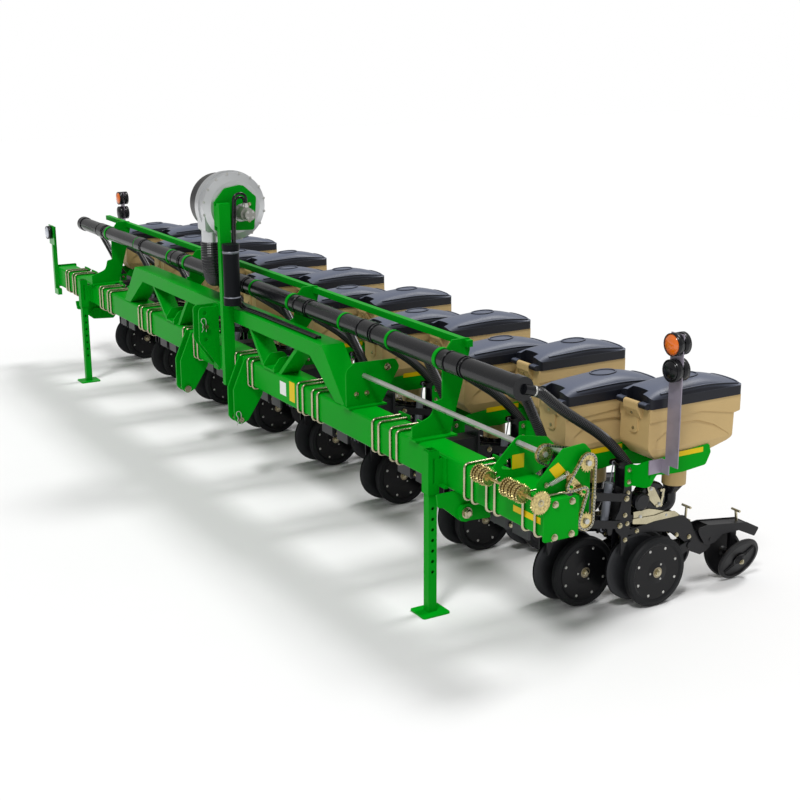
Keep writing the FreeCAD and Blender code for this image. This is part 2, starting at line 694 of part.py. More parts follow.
def gauge_arm():
    """Left gauge wheel arm from its pivot to the stub axle of the wheel."""
    arm = [(GAUGE_Y - 26.0, GAUGE_RADIUS - 26.0, 24.0), (GAUGE_Y + 20.0, GAUGE_RADIUS - 30.0, 20.0),
           (GAUGE_PIVOT_Y + 24.0, GAUGE_PIVOT_Z - 20.0, 20.0), (GAUGE_PIVOT_Y + 20.0, GAUGE_PIVOT_Z + 26.0, 20.0),
           (GAUGE_PIVOT_Y - 26.0, GAUGE_PIVOT_Z + 22.0, 20.0), (GAUGE_Y - 24.0, GAUGE_RADIUS + 26.0, 22.0)]
    x0 = FRAME_HALF - FRAME_PLATE + SEAT
    plate = side_plate(arm, x0, x0 + GAUGE_ARM_PLATE)
    plate = plate.cut(cross_rod(x0 - 1, x0 + 9.0, GAUGE_PIVOT_Y, GAUGE_PIVOT_Z, GAUGE_PIVOT + AXLE_PLAY))
    stub_end = GAUGE_INNER + GAUGE_WIDTH + 2.0
    stub = cross_rod(x0, stub_end, GAUGE_Y, GAUGE_RADIUS, GAUGE_BORE / 2.0 - AXLE_PLAY)
    return fused([plate, stub])


def disc_foot():
    """Centre plate whose cross boss carries the opener disc bearings."""
    foot = [(500.0, 440.0, 0.0), (500.0, 330.0, 10.0), (560.0, 200.0, 30.0), (640.0, 190.0, 30.0),
            (720.0, 60.0, 10.0), (760.0, 60.0, 10.0), (740.0, 250.0, 30.0), (660.0, 440.0, 0.0)]
    half = FRAME_HALF - 2 * FRAME_PLATE - SEAT
    web = box(-half, half, 548.0, 640.0, 428.0, 440.0)
    toe = math.sin(math.radians(DISC_TOE))
    reach = DISC_GAP + (DISC_RADIUS - DISC_BOSS) * toe - SEAT
    boss = cross_rod(-reach, reach, DISC_Y, DISC_Z, DISC_BOSS)
    return fused([side_plate(foot, -3.0, 3.0), web, boss])


def row_unit_frames():
    side = unit_side()
    arm = gauge_arm()
    half = FRAME_HALF - FRAME_PLATE - SEAT
    crosspiece = box(-half, half, 500.0, 508.0, 690.0, 800.0)
    pieces = [side, mirrored_x(side), arm, mirrored_x(arm), disc_foot(), crosspiece]
    return at_units(*(pieces + unit_pins()))


def opener_discs():
    """Dished blades with bearing hubs, toed in towards the front."""
    inner = DISC_GAP
    blade = turned([(inner, 0.0), (inner, DISC_RADIUS), (inner + 1.0, DISC_RADIUS),
                    (inner + DISC_THICK, DISC_RADIUS - 14.0), (inner + DISC_THICK, 34.0),
                    (inner + 9.0, 30.0), (inner + 9.0, 0.0)], (DISC_Y, DISC_Z))
    blade.rotate(V(inner, DISC_Y - DISC_RADIUS, DISC_Z), V(0, 0, 1), -DISC_TOE)
    return at_units(blade, mirrored_x(blade))


def gauge_wheel():
    """Left gauge wheel: rubber tread ring on a dished disc with a hub."""
    inner = GAUGE_INNER
    outer = GAUGE_INNER + GAUGE_WIDTH
    rim = GAUGE_RADIUS - 34.0
    bore = GAUGE_BORE / 2.0
    profile = [(inner + 6.0, bore), (inner + 6.0, 30.0), (outer - 24.0, 34.0), (outer - 17.0, 60.0),
               (outer - 17.0, rim - 6.0), (inner + 8.0, rim), (inner, rim + 8.0), (inner + 3.0, GAUGE_RADIUS - 8.0),
               (inner + 12.0, GAUGE_RADIUS), (outer - 16.0, GAUGE_RADIUS), (outer - 4.0, GAUGE_RADIUS - 8.0),
               (outer, rim + 4.0), (outer - 8.0, rim - 10.0), (outer - 8.0, 66.0), (outer - 4.0, 40.0),
               (outer - 2.0, 30.0), (outer - 2.0, bore)]
    return turned(profile, (GAUGE_Y, GAUGE_RADIUS))


def closing_arm():
    """Two cheeks and a sloping deck over the closing wheels, with their axle carrier."""
    y, z = CLOSING_PIVOT_Y, CLOSING_PIVOT_Z
    cheek = about([(-45.0, -18.0, 14.0), (-16.0, -30.0, 14.0), (34.0, -23.0, 14.0), (89.0, 14.0, 14.0),
                   (212.0, 13.0, 12.0), (337.0, -46.0, 8.0), (369.0, 0.0, 10.0), (271.0, 51.0, 14.0),
                   (-19.0, 89.0, 20.0), (-103.0, 82.0, 16.0), (-83.0, 40.0, 14.0)], y, z)
    deck = about([(-10.0, 83.0, 0.0), (266.0, 46.0, 0.0), (266.0, 40.0, 0.0), (-10.0, 77.0, 0.0)], y, z)
    inner = CLOSING_ARM_HALF - CLOSING_ARM_PLATE
    pieces = [side_plate(deck, -inner, inner)]
    for x in (-CLOSING_ARM_HALF, inner):
        pieces.append(side_plate(cheek, x, x + CLOSING_ARM_PLATE))
    hole = cross_rod(-60.0, 60.0, y, z, CLOSING_PIN + AXLE_PLAY)
    return fused(pieces + closing_axles()).cut(hole)


def closing_z():
    cant = math.radians(CLOSING_CANT)
    return CLOSING_RADIUS * math.cos(cant) + CLOSING_WIDTH / 2.0 * math.sin(cant) + 1.0


def closing_axles():
    """Hanger under the arm deck with the two canted stub axles."""
    carrier = box(-12.0, 12.0, CLOSING_Y - 22.0, CLOSING_Y + 22.0, closing_z() - 18.0, CLOSING_PIVOT_Z + 50.0)
    cant = math.radians(CLOSING_CANT)
    hub = CLOSING_WIDTH / 2.0 + 4.0
    end_x = CLOSING_HALF - hub * math.cos(cant)
    end_z = closing_z() + hub * math.sin(cant)
    root_z = closing_z() + CLOSING_HALF * math.tan(cant)
    left = rod((0.0, CLOSING_Y, root_z), (end_x, CLOSING_Y, end_z), 9.0)
    return [carrier, left, mirrored_x(left)]


def closing_wheel():
    half = CLOSING_WIDTH / 2.0
    rim = CLOSING_RADIUS - 26.0
    profile = [(-half - 4.0, 0.0), (-half - 4.0, 24.0), (-4.0, 34.0), (-3.0, rim), (-half, rim + 4.0),
               (-half + 4.0, CLOSING_RADIUS - 4.0), (-2.0, CLOSING_RADIUS), (2.0, CLOSING_RADIUS),
               (half - 4.0, CLOSING_RADIUS - 4.0), (half, rim + 4.0), (3.0, rim), (3.0, 34.0),
               (half + 8.0, 20.0), (half + 8.0, 0.0)]
    wheel = turned(profile, (CLOSING_Y, closing_z()))
    wheel.translate(V(CLOSING_HALF, 0, 0))
    wheel.rotate(V(CLOSING_HALF, CLOSING_Y, closing_z()), Y_AXIS, CLOSING_CANT)
    return wheel


def closing_wheels():
    left = closing_wheel()
    return at_units(left, mirrored_x(left))


def hook_ring(y, z, pin_radius):
    """Eye of the spring's wire round a cross pin."""
    middle = pin_radius + SEAT + SPRING_WIRE
    return Part.makeTorus(middle, SPRING_WIRE, V(SPRING_X, y, z), X_AXIS)


def down_spring():
    """Close-wound spring barrel hung between the frame's bar and the lower link's pin."""
    top = (SPRING_X, 426.0, 728.0)
    foot = (SPRING_X, 400.0, 487.0)
    head_y, head_z = SPRING_HEAD
    foot_y, foot_z = SPRING_FOOT
    reach = SPRING_BAR + SEAT + SPRING_WIRE
    pieces = [rod(top, foot, SPRING_BARREL)]
    pieces.append(rod((SPRING_X, 427.0, 700.0), (SPRING_X, head_y - 3.0, head_z - reach), SPRING_WIRE))
    pieces.append(hook_ring(head_y, head_z, SPRING_BAR))
    pieces.append(hook_ring(foot_y, foot_z, SPRING_PIN))
    lift = SPRING_PIN + SEAT + SPRING_WIRE
    pieces.append(rod((SPRING_X, 402.0, 510.0), (SPRING_X, foot_y + 2.0, foot_z + lift), SPRING_WIRE))
    return fused(pieces)


def seed_meter(shift):
    """Round meter housing with its motor, hose neck, foot and the seed elbow from the hopper."""
    y, z = METER_Y, METER_Z
    radius = METER_RADIUS
    housing = turned([(-34.0, 0.0), (-34.0, radius - 10.0), (-24.0, radius), (20.0, radius),
                      (30.0, radius - 10.0), (34.0, radius - 40.0), (34.0, 0.0)], (y, z))
    motor = turned([(30.0, 0.0), (30.0, 50.0), (54.0, 50.0), (62.0, 40.0), (62.0, 0.0)], (y - 88.0, z + 8.0))
    foot = side_plate([(612.0, 469.2, 0.0), (732.0, 477.8, 0.0), (732.0, 545.0, 0.0), (612.0, 545.0, 0.0)],
                      -30.0, 34.0)
    neck = rod((0.0, HOSE_END_Y + SEAT, HOSE_END_Z - SEAT), (0.0, y - 40.0, z + 62.0), HOSE_DIA / 2.0 + 2.0)
    middle = shift / 4.0
    wide = Part.Wire(Part.makeCircle(60.0, V(shift, SPOUT_Y, SPOUT_LOW - SEAT), V(0, 0, 1)))
    narrow = Part.Wire(Part.makeCircle(34.0, V(middle, SPOUT_Y, 612.0), V(0, 0, 1)))
    cone = Part.makeLoft([wide, narrow], True, True)
    elbow = hose([(middle, SPOUT_Y, 620.0), (middle, SPOUT_Y, 548.0), (0.0, 775.0, 518.0),
                  (0.0, 690.0, 518.0)], 33.0)
    return fused([housing, motor, foot, neck, cone, elbow])


def seed_meters():
    return [moved(seed_meter(shift), x, y) for x, y, shift in unit_places()]


def unit_hardware():
    """Bright plates, latches and adjuster handles of one row unit."""
    x0 = 46.0
    base = [(545.0, 520.0, 8.0), (545.0, 492.0, 8.0), (640.0, 474.0, 8.0), (700.0, 480.0, 0.0),
            (881.0, 479.0, 6.0), (840.0, 512.0, 10.0), (770.0, 520.0, 0.0), (700.0, 512.0, 0.0)]
    plate = [side_plate(base, x0, x0 + 3.0)]
    for y in (640.0, 710.0):
        plate.append(cross_rod(34.0 + SEAT, x0, y, 494.0, 5.0))
    latches = []
    for y, z in ((652.0, 640.0), (713.0, 564.0), (751.0, 610.0), (740.0, 648.0)):
        latches.append(cross_rod(34.0 + SEAT, 47.0, y, z, 8.0))
    lever = [(735.0, 556.0, 4.0), (748.0, 552.0, 4.0), (766.0, 650.0, 4.0), (752.0, 658.0, 4.0)]
    latch_bar = side_plate(lever, 41.0, 45.0)
    handle = [rod((0.0, 964.0, 425.0), (0.0, 969.0, 498.0), 7.0), cross_rod(-34.0, 34.0, 969.0, 500.0, 7.0)]
    block = box(-23.7, 23.7, 946.0, 982.0, 392.0, 426.0)
    deck_z = CLOSING_PIVOT_Z + 52.0
    back = CLOSING_PIVOT_Y + 237.0
    post = [rod((0.0, back, deck_z), (0.0, back - 8.0, deck_z + 62.0), 8.0),
            cross_rod(-32.0, 32.0, back - 8.0, deck_z + 64.0, 7.0)]
    latch = fused([latch_bar] + latches[1:])
    return [fused(plate), latches[0], latch, fused(handle + [block]), fused(post)]


# ------------------------------------------------------------------ hoppers
def hopper_side():
    """Side outline of the hopper: steep front, sloping floor to the spout, stepped rear."""
    return [(HOPPER_FRONT, HOPPER_RIM, 0.0), (HOPPER_FRONT, 930.0, 40.0), (610.0, 862.0, 30.0),
            (745.0, 800.0, 20.0), (756.0, 760.0, 0.0), (914.0, 760.0, 0.0), (922.0, 800.0, 20.0),
            (982.0, 862.0, 30.0), (1103.0, 899.0, 30.0), (1133.0, 916.0, 20.0), (1137.0, 1050.0, 0.0),
            (HOPPER_REAR, 1060.0, 8.0), (HOPPER_REAR, HOPPER_RIM, 0.0)]


def hopper_body():
    """Seed hopper with its wider rim band and the shallow scoops in both sides."""
    half = HOPPER_WIDTH / 2.0
    lower = half - HOPPER_STEP
    waist = HOPPER_WAIST_HALF
    front = [(-lower, HOPPER_RIM, 0.0), (-lower, HOPPER_SHOULDER, 20.0), (-waist, HOPPER_WAIST, 0.0),
             (-66.0, 760.0, 0.0), (66.0, 760.0, 0.0), (waist, HOPPER_WAIST, 0.0),
             (lower, HOPPER_SHOULDER, 20.0), (lower, HOPPER_RIM, 0.0)]
    solid = side_plate(hopper_side(), -half, half)
    solid = solid.common(front_plate(front, HOPPER_FRONT - 20.0, HOPPER_REAR + 20.0))
    scoop = hopper_scoop(lower)
    solid = solid.cut(scoop).cut(mirrored_x(scoop))
    band = [(HOPPER_FRONT, HOPPER_RIM, 0.0), (HOPPER_FRONT, 1078.0, 0.0), (724.0, 1085.0, 60.0),
            (897.0, 1096.0, 60.0), (1136.0, 1053.0, 20.0), (HOPPER_REAR, 1060.0, 8.0),
            (HOPPER_REAR, HOPPER_RIM, 0.0)]
    return solid.fuse(side_plate(band, -half, half))


def hopper_scoop(face):
    """Cutter of one side's scoop: deepest under its arc, running out downwards."""
    region = [(600.0, 980.0, 10.0), (720.0, 1054.0, 60.0), (880.0, 1048.0, 90.0), (998.0, 1006.0, 60.0),
              (1100.0, 943.0, 20.0), (1129.0, 900.0, 0.0), (600.0, 900.0, 0.0)]
    wedge = [(face, 900.0, 0.0), (face - HOPPER_SCOOP, 1056.0, 0.0), (face + 20.0, 1056.0, 0.0),
             (face + 20.0, 900.0, 0.0)]
    return side_plate(region, face - 20.0, face + 20.0).common(front_plate(wedge, 590.0, 1140.0))


def hopper_hollow():
    wall = HOPPER_WALL
    upper = HOPPER_WIDTH / 2.0 - 10.0
    lower = upper - 12.0
    front_y = HOPPER_FRONT + wall
    side = [(front_y, HOPPER_RIM + 1.0, 0.0), (front_y, 934.0, 36.0), (617.0, 870.0, 0.0),
            (975.0, 870.0, 0.0), (1098.0, 907.0, 24.0), (1126.0, 924.0, 16.0), (1130.0, 1056.0, 0.0),
            (HOPPER_REAR - wall, 1067.0, 4.0), (HOPPER_REAR - wall, HOPPER_RIM + 1.0, 0.0)]
    front = [(-upper, HOPPER_RIM + 1.0, 0.0), (-upper, 1074.0, 0.0), (-lower, 1063.0, 0.0),
             (-lower, 925.0, 20.0), (-82.0, 868.0, 0.0), (82.0, 868.0, 0.0), (lower, 925.0, 20.0),
             (lower, 1063.0, 0.0), (upper, 1074.0, 0.0), (upper, HOPPER_RIM + 1.0, 0.0)]
    return side_plate(side, -upper, upper).common(front_plate(front, HOPPER_FRONT, HOPPER_REAR))


def hinge_boss():
    """Boss on the hopper's front that the lid's two stub pins turn in."""
    y, z = LID_HINGE_Y, LID_HINGE_Z
    reach = LID_KNUCKLE
    profile = [(HOPPER_FRONT + 4.0, 1090.0, 0.0), (HOPPER_FRONT - 8.0, 1090.0, 8.0),
               (y - reach, 1140.0, 14.0), (y - reach, z + reach, reach - 1.0),
               (y + reach, z + reach, reach - 1.0), (y + reach, HOPPER_RIM - 1.0, 0.0),
               (HOPPER_FRONT + 4.0, HOPPER_RIM - 1.0, 0.0)]
    boss = side_plate(profile, -BOSS_HALF, BOSS_HALF)
    return boss.cut(cross_rod(-BOSS_HALF - 1, BOSS_HALF + 1, y, z, LID_PIN + AXLE_PLAY))


def hopper():
    bin_shell = hopper_body().cut(hopper_hollow())
    spout = rod((0.0, SPOUT_Y, SPOUT_LOW), (0.0, SPOUT_Y, 790.0), SPOUT_DIA / 2.0)
    tongue = [(-30.0, 1092.0, 0.0), (-30.0, 1005.0, 20.0), (30.0, 1005.0, 20.0), (30.0, 1092.0, 0.0)]
    strap = front_plate(tongue, HOPPER_FRONT - 9.0, HOPPER_FRONT + 2.0)
    return fused([bin_shell, spout, hinge_boss(), strap])


def hopper_half(z):
    """Half width of the hopper's tapering sides at a height."""
    lower = HOPPER_WIDTH / 2.0 - HOPPER_STEP
    share = (z - HOPPER_WAIST) / (HOPPER_SHOULDER - HOPPER_WAIST)
    return HOPPER_WAIST_HALF + share * (lower - HOPPER_WAIST_HALF)


# ------------------------------------------------------------------ saddles
def bent_strip(line, thick):
    """Plan outline of a strip whose inner face follows the line, thick away to its left."""
    outer = []
    for i, (x, y) in enumerate(line):
        before = line[max(i - 1, 0)]
        after = line[min(i + 1, len(line) - 1)]
        into = V(x - before[0], y - before[1], 0)
        out = V(after[0] - x, after[1] - y, 0)
        if into.Length < 1e-6:
            into = out
        if out.Length < 1e-6:
            out = into
        first = V(into.y, -into.x, 0).normalize()
        second = V(out.y, -out.x, 0).normalize()
        mitre = (first + second).normalize()
        outer.append(V(x, y, 0) + mitre * (thick / mitre.dot(first)))
    return [(x, y, 0.0) for x, y in line] + [(p.x, p.y, 0.0) for p in reversed(outer)]


def saddle_side(shift):
    """Left cheek of one saddle, bent out from the shank plate to the hopper's flank."""
    near = FRAME_HALF + SEAT
    far = shift + hopper_half(SADDLE_TOP) + SEAT
    strip = bent_strip([(near, 484.0), (near, 535.0), (far, 575.0), (far, 990.0)], SADDLE_PLATE)
    cheek = [(484.0, FLANGE_TOP, 10.0), (484.0, FLANGE_LOW, 10.0), (560.0, 712.0, 20.0), (612.0, 785.0, 16.0),
             (685.0, 775.0, 0.0), (799.0, 772.0, 0.0), (954.0, 786.0, 20.0), (987.0, 851.0, 20.0),
             (972.0, SADDLE_TOP, 16.0), (653.0, 874.0, 0.0), (569.0, 867.0, 14.0), (545.0, FLANGE_TOP, 8.0)]
    return flat_plate(strip, 700.0, 910.0).common(side_plate(cheek, 0.0, 300.0))


def hopper_saddles():
    pieces = []
    for x, y, shift in unit_places():
        pieces.append(moved(saddle_side(shift), x, y))
        pieces.append(moved(mirrored_x(saddle_side(-shift)), x, y))
    return pieces


# --------------------------------------------------------------------- lids
def lid_section(y, inset, half, low, band, crest):
    """Wire across the lid at one depth: flat sides up to the band, then the crown."""
    half = half - inset
    band = band - inset
    rise = crest - inset - band
    spots = [V(half, y, band), V(half * 0.86, y, band + 0.5 * rise), V(half * 0.5, y, band + 0.9 * rise),
             V(0, y, band + rise), V(-half * 0.5, y, band + 0.9 * rise),
             V(-half * 0.86, y, band + 0.5 * rise), V(-half, y, band)]
    crown = Part.BSplineCurve()
    crown.interpolate(spots)
    right = Part.LineSegment(V(-half, y, band), V(-half, y, low)).toShape()
    bottom = Part.LineSegment(V(-half, y, low), V(half, y, low)).toShape()
    left = Part.LineSegment(V(half, y, low), V(half, y, band)).toShape()
    return Part.Wire([crown.toShape(), right, bottom, left])


def lid_loft(inset, low):
    """Domed block of the lid, highest two thirds of the way back."""
    half = HOPPER_WIDTH / 2.0 + LID_OVERHANG
    band = HOPPER_RIM + LID_BAND
    front = HOPPER_FRONT - 5.0
    rear = HOPPER_REAR + LID_OVERHANG
    crown = [(0.0, 0.34), (0.05, 0.52), (0.22, 0.80), (0.42, 0.96), (0.60, 1.0), (0.80, 0.72),
             (0.94, 0.36), (1.0, 0.14)]
    sections = []
    for share, rise in crown:
        y = front + inset + share * (rear - front - 2.0 * inset)
        sections.append(lid_section(y, inset, half, low, band, band + rise * (LID_CROWN + 8.0)))
    return Part.makeLoft(sections, True, False)


def lid_plan(inset):
    half = HOPPER_WIDTH / 2.0 + LID_OVERHANG - inset
    front = HOPPER_FRONT - 5.0 + inset
    rear = HOPPER_REAR + LID_OVERHANG - inset
    corners = [(-half, front), (half, front), (half, rear), (-half, rear)]
    outline_points = [(x, y, 24.0 - inset) for x, y in corners]
    return flat_plate(outline_points, HOPPER_RIM - 5.0, HOPPER_RIM + 160.0)


def lid_shell():
    """Domed lid with a notch over the hinge boss, two knuckles and their stub pins."""
    low = HOPPER_RIM + SEAT
    block = lid_loft(0.0, low).common(lid_plan(0.0))
    room = lid_loft(LID_WALL, low - 1.0).common(lid_plan(LID_WALL))
    notch_y = HOPPER_FRONT + 32.0
    notch = box(-LID_NOTCH, LID_NOTCH, HOPPER_FRONT - 20.0, notch_y, low - 2.0, HOPPER_RIM + 160.0)
    wall = box(-LID_NOTCH - 5.0, LID_NOTCH + 5.0, notch_y, notch_y + 5.0, low, HOPPER_RIM + 160.0)
    shell = block.cut(room).fuse(wall.common(block)).cut(notch)
    y, z = LID_HINGE_Y, LID_HINGE_Z
    reach = LID_KNUCKLE
    arm = [(y, z + reach, 0.0), (y + 40.0, z + reach, 0.0), (y + 40.0, z - reach, 0.0), (y, z - reach, 0.0)]
    pieces = [shell]
    for side in (-1, 1):
        x0, x1 = sorted((side * LID_NOTCH, side * (HOPPER_WIDTH / 2.0 - 4.0)))
        pieces.append(side_plate(arm, x0, x1))
        pieces.append(cross_rod(x0, x1, y, z, reach))
        p0, p1 = sorted((side * 40.0, side * (LID_NOTCH + 4.0)))
        pieces.append(cross_rod(p0, p1, y, z, LID_PIN))
    return fused(pieces)


# ---------------------------------------------------------------- air system
def air_manifold():
    """Distribution pipe with end caps, couplings, the duct inlet and one outlet for each row."""
    radius = PIPE_DIA / 2.0
    pieces = [cross_rod(PIPE_RIGHT_X, PIPE_LEFT_X, PIPE_Y, PIPE_Z, radius)]
    for x in (PIPE_RIGHT_X, PIPE_LEFT_X - 70.0):
        pieces.append(cross_rod(x, x + 70.0, PIPE_Y, PIPE_Z, radius + 6.0))
    for x in (-2895.0, -1930.0, -1080.0, 120.0, 1080.0, 1930.0, 2895.0):
        pieces.append(cross_rod(x - 60.0, x + 60.0, PIPE_Y, PIPE_Z, radius + 5.0))
    for x, y, shift in unit_places():
        pieces.append(rod((x, PIPE_Y, PIPE_Z), (x, OUTLET_Y, OUTLET_Z), HOSE_DIA / 2.0 + 4.0))
    pieces.append(rod((-137.0, 63.0, 1353.4), (-340.0, 148.4, 1305.3), DUCT_DIA / 2.0 - 4.0))
    return [fused(pieces)]


def air_hoses():
    """Row hoses from the manifold to the meters, the fan duct and two hydraulic hoses."""
    radius = HOSE_DIA / 2.0
    start = (OUTLET_Y + 0.29, OUTLET_Z - 0.08)
    front = [start, (272.0, 1298.7), (335.0, 1225.0), (440.0, 1010.0), (500.0, 860.0), (HOSE_END_Y, HOSE_END_Z)]
    rear = [start, (284.0, 1295.3), (425.0, 1180.0), (680.0, 1010.0), (800.0, 900.0), (HOSE_END_Y + TWIN_STAGGER, HOSE_END_Z)]
    shapes = []
    for line in (front, rear):
        shapes.append(hose([(0.0, y, z) for y, z in line], radius))
    hoses = [moved(shapes[1 if y > 0 else 0], x) for x, y, shift in unit_places()]
    duct = [(FAN_X, FAN_OUTLET_Y, FAN_OUTLET_LOW - SEAT), (FAN_X, FAN_OUTLET_Y, 1500.0),
            (60.0, -20.0, 1400.0), (-136.6, 62.8, 1353.5)]
    hoses.append(hose(duct, DUCT_DIA / 2.0))
    first = [(320.0, 122.0, 1889.6), (320.0, 122.0, 1985.0), (320.0, 30.0, 1985.0), (320.0, 14.0, 1700.0),
             (320.0, 14.0, 1220.0), (600.0, 42.0, 1216.0), (1480.0, 46.0, 1216.0)]
    second = [(285.0, 122.0, 1889.6), (285.0, 122.0, 1955.0), (297.0, 52.0, 1955.0), (297.0, 38.0, 1700.0),
              (297.0, 38.0, 1222.0), (600.0, 72.0, 1216.0), (1480.0, 72.0, 1216.0)]
    hoses += [hose(first, 9.0), hose(second, 9.0)]
    return hoses


def support_head():
    """Upper outline shared by the supports: pipe seat, then the hose rail's notch."""
    return [(RAIL_Y - 95.0, RAIL_Z + 27.0, 10.0), (RAIL_Y + 19.0, RAIL_Z + 27.0, 10.0),
            (RAIL_Y + 19.0, RAIL_Z - 40.0, 20.0), (318.0, 1210.0, 60.0)]


def with_pipe_ring(plate, x):
    """Cut the pipe seat and the rail notch, and add the strap that holds the pipe."""
    seat = PIPE_DIA / 2.0 + PIPE_SEAT
    strap = cross_rod(x - 14.0, x + 14.0, PIPE_Y, PIPE_Z, seat + 5.0)
    half = RAIL_SIDE / 2.0 + SEAT
    notch = box(x - 40.0, x + 40.0, RAIL_Y - half, RAIL_Y + half, RAIL_Z - half, RAIL_Z + half)
    return fused([plate, strap]).cut(cross_rod(x - 40.0, x + 40.0, PIPE_Y, PIPE_Z, seat)).cut(notch)


def outer_support(x):
    """Upright plate from the toolbar that carries the manifold and the hose rail."""
    blade = [(-15.0, TUBE_TOP + 10.0, 0.0), (-15.0, 968.0, 12.0), (112.0, 1012.0, 60.0),
             (132.0, 1090.0, 12.0), (178.0, 1100.0, 8.0), (178.0, PIPE_Z - 20.0, 0.0),
             (178.0, PIPE_Z + 20.0, 0.0)] + support_head() + [(230.0, TUBE_TOP + 10.0, 0.0)]
    half = SUPPORT_PLATE / 2.0
    plate = side_plate(blade, x - half, x + half)
    base = box(x - 40.0, x + 50.0, -22.0, TUBE + 70.0, TUBE_TOP, TUBE_TOP + 10.0)
    return with_pipe_ring(plate.fuse(base), x)


def inner_support(x):
    """Plate bolted behind the truss for the same pipe and rail."""
    blade = [(TRUSS_TUBE_DEPTH, TRUSS_TOP - 70.0, 0.0), (TRUSS_TUBE_DEPTH, TRUSS_TOP + 10.0, 8.0),
             (178.0, 1225.0, 8.0), (178.0, PIPE_Z - 20.0, 0.0), (178.0, PIPE_Z + 20.0, 0.0)]
    blade += support_head() + [(250.0, TRUSS_TOP - 70.0, 20.0)]
    half = SUPPORT_PLATE / 2.0
    return with_pipe_ring(side_plate(blade, x - half, x + half), x)


def rail(x0, x1):
    half = RAIL_SIDE / 2.0
    return box(x0, x1, RAIL_Y - half, RAIL_Y + half, RAIL_Z - half, RAIL_Z + half)


def manifold_supports():
    pieces = [rail(-3250.0, -810.0), rail(-340.0, 2760.0)]
    for side in (-1, 1):
        pieces.append(outer_support(side * OUTER_SUPPORT_X))
        pieces.append(inner_support(side * INNER_SUPPORT_X))
    return pieces


# --------------------------------------------------------------------- fan
def fan_housing():
    """Scroll housing about an X axis with its outlet pointing down, its intake drum and motor."""
    x0 = FAN_X - FAN_WIDTH / 2.0
    x1 = FAN_X + FAN_WIDTH / 2.0
    edge = FAN_RADIUS - 8.0
    scroll = turned([(x0, 0.0), (x0, edge - 12.0), (x0 + 12.0, edge), (FAN_X - 6.0, edge),
                     (FAN_X - 6.0, FAN_RADIUS), (FAN_X + 6.0, FAN_RADIUS), (FAN_X + 6.0, edge),
                     (x1 - 22.0, edge - 4.0), (x1, edge - 52.0), (x1, 0.0)], (FAN_Y, FAN_Z))
    front = FAN_OUTLET_Y - 66.0
    throat = [(front, FAN_Z - 10.0, 0.0), (front + 4.0, FAN_Z - 150.0, 20.0), (front + 22.0, 1722.0, 0.0),
              (FAN_OUTLET_Y + 48.0, 1722.0, 0.0), (FAN_OUTLET_Y + 90.0, FAN_Z - 90.0, 0.0)]
    outlet = rod((FAN_X, FAN_OUTLET_Y, FAN_OUTLET_LOW), (FAN_X, FAN_OUTLET_Y, 1760.0), FAN_OUTLET_DIA / 2.0)
    drum_x = x0 - FAN_DRUM_WIDTH
    drum = turned([(drum_x, 0.0), (drum_x, FAN_DRUM_RADIUS - 14.0), (drum_x + 12.0, FAN_DRUM_RADIUS),
                   (x0, FAN_DRUM_RADIUS), (x0, 0.0)], (FAN_Y, FAN_Z + 5.0))
    motor = turned([(x1 - 1.0, 0.0), (x1 - 1.0, 46.0), (x1 + 96.0, 46.0), (x1 + 96.0, 38.0),
                    (x1 + 150.0, 38.0), (x1 + 150.0, 0.0)], (MOTOR_Y, MOTOR_Z))
    return [fused([scroll, side_plate(throat, FAN_X - 66.0, FAN_X + 66.0), outlet, drum, motor])]


def fan_post():
    """Upright tube in front of the toolbar, the fan's motor plate, and a capped document tube."""
    x0 = POST_X - POST_WIDTH / 2.0
    x1 = POST_X + POST_WIDTH / 2.0
    face = FAN_X + FAN_WIDTH / 2.0 + SEAT
    pieces = [box(x0, x1, -POST_DEPTH, 0.0, TUBE_BOTTOM - 40.0, POST_TOP)]
    plate = [(-POST_DEPTH, FAN_Z - 150.0, 10.0), (210.0, FAN_Z - 165.0, 20.0), (232.0, FAN_Z + 60.0, 30.0),
             (130.0, FAN_Z + 150.0, 60.0), (0.0, FAN_Z + 130.0, 30.0), (-POST_DEPTH, POST_TOP, 10.0)]
    hole = cross_rod(face - 5.0, x1 + 20.0, MOTOR_Y, MOTOR_Z, 62.0)
    pieces.append(side_plate(plate, face, face + 10.0).cut(hole))
    pieces.append(box(face, x0, -POST_DEPTH, -20.0, FAN_Z - 120.0, FAN_Z + 20.0))
    centre_x = x1 + 22.0 + CANISTER_DIA / 2.0
    for z in (1360.0, 1590.0):
        pieces.append(box(x1, x1 + 22.0 - SEAT, -52.0, -28.0, z - 14.0, z + 14.0))
    radius = CANISTER_DIA / 2.0
    low, high = CANISTER_LOW, CANISTER_TOP
    profile = [(low, radius + 4.0), (low + 52.0, radius + 4.0), (low + 52.0, radius), (high - 34.0, radius),
               (high - 34.0, radius + 4.0), (high, radius + 4.0)]
    points = [V(centre_x, -40.0, low)] + [V(centre_x + r, -40.0, z) for z, r in profile]
    points.append(V(centre_x, -40.0, high))
    face = Part.Face(Part.makePolygon(points + [points[0]]))
    canister = face.revolve(V(centre_x, -40.0, 0), V(0, 0, 1), 360)
    return [fused(pieces), canister]


# --------------------------------------------------------------------- drive
def hexagon(y, z, across, x0, x1):
    radius = across / math.sqrt(3.0)
    points = []
    for i in range(6):
        angle = math.radians(60.0 * i)
        points.append((y + radius * math.cos(angle), z + radius * math.sin(angle), 0.0))
    return side_plate(points, x0, x1)


def pitch_radius(teeth):
    return CHAIN_PITCH * teeth / (2.0 * math.pi)


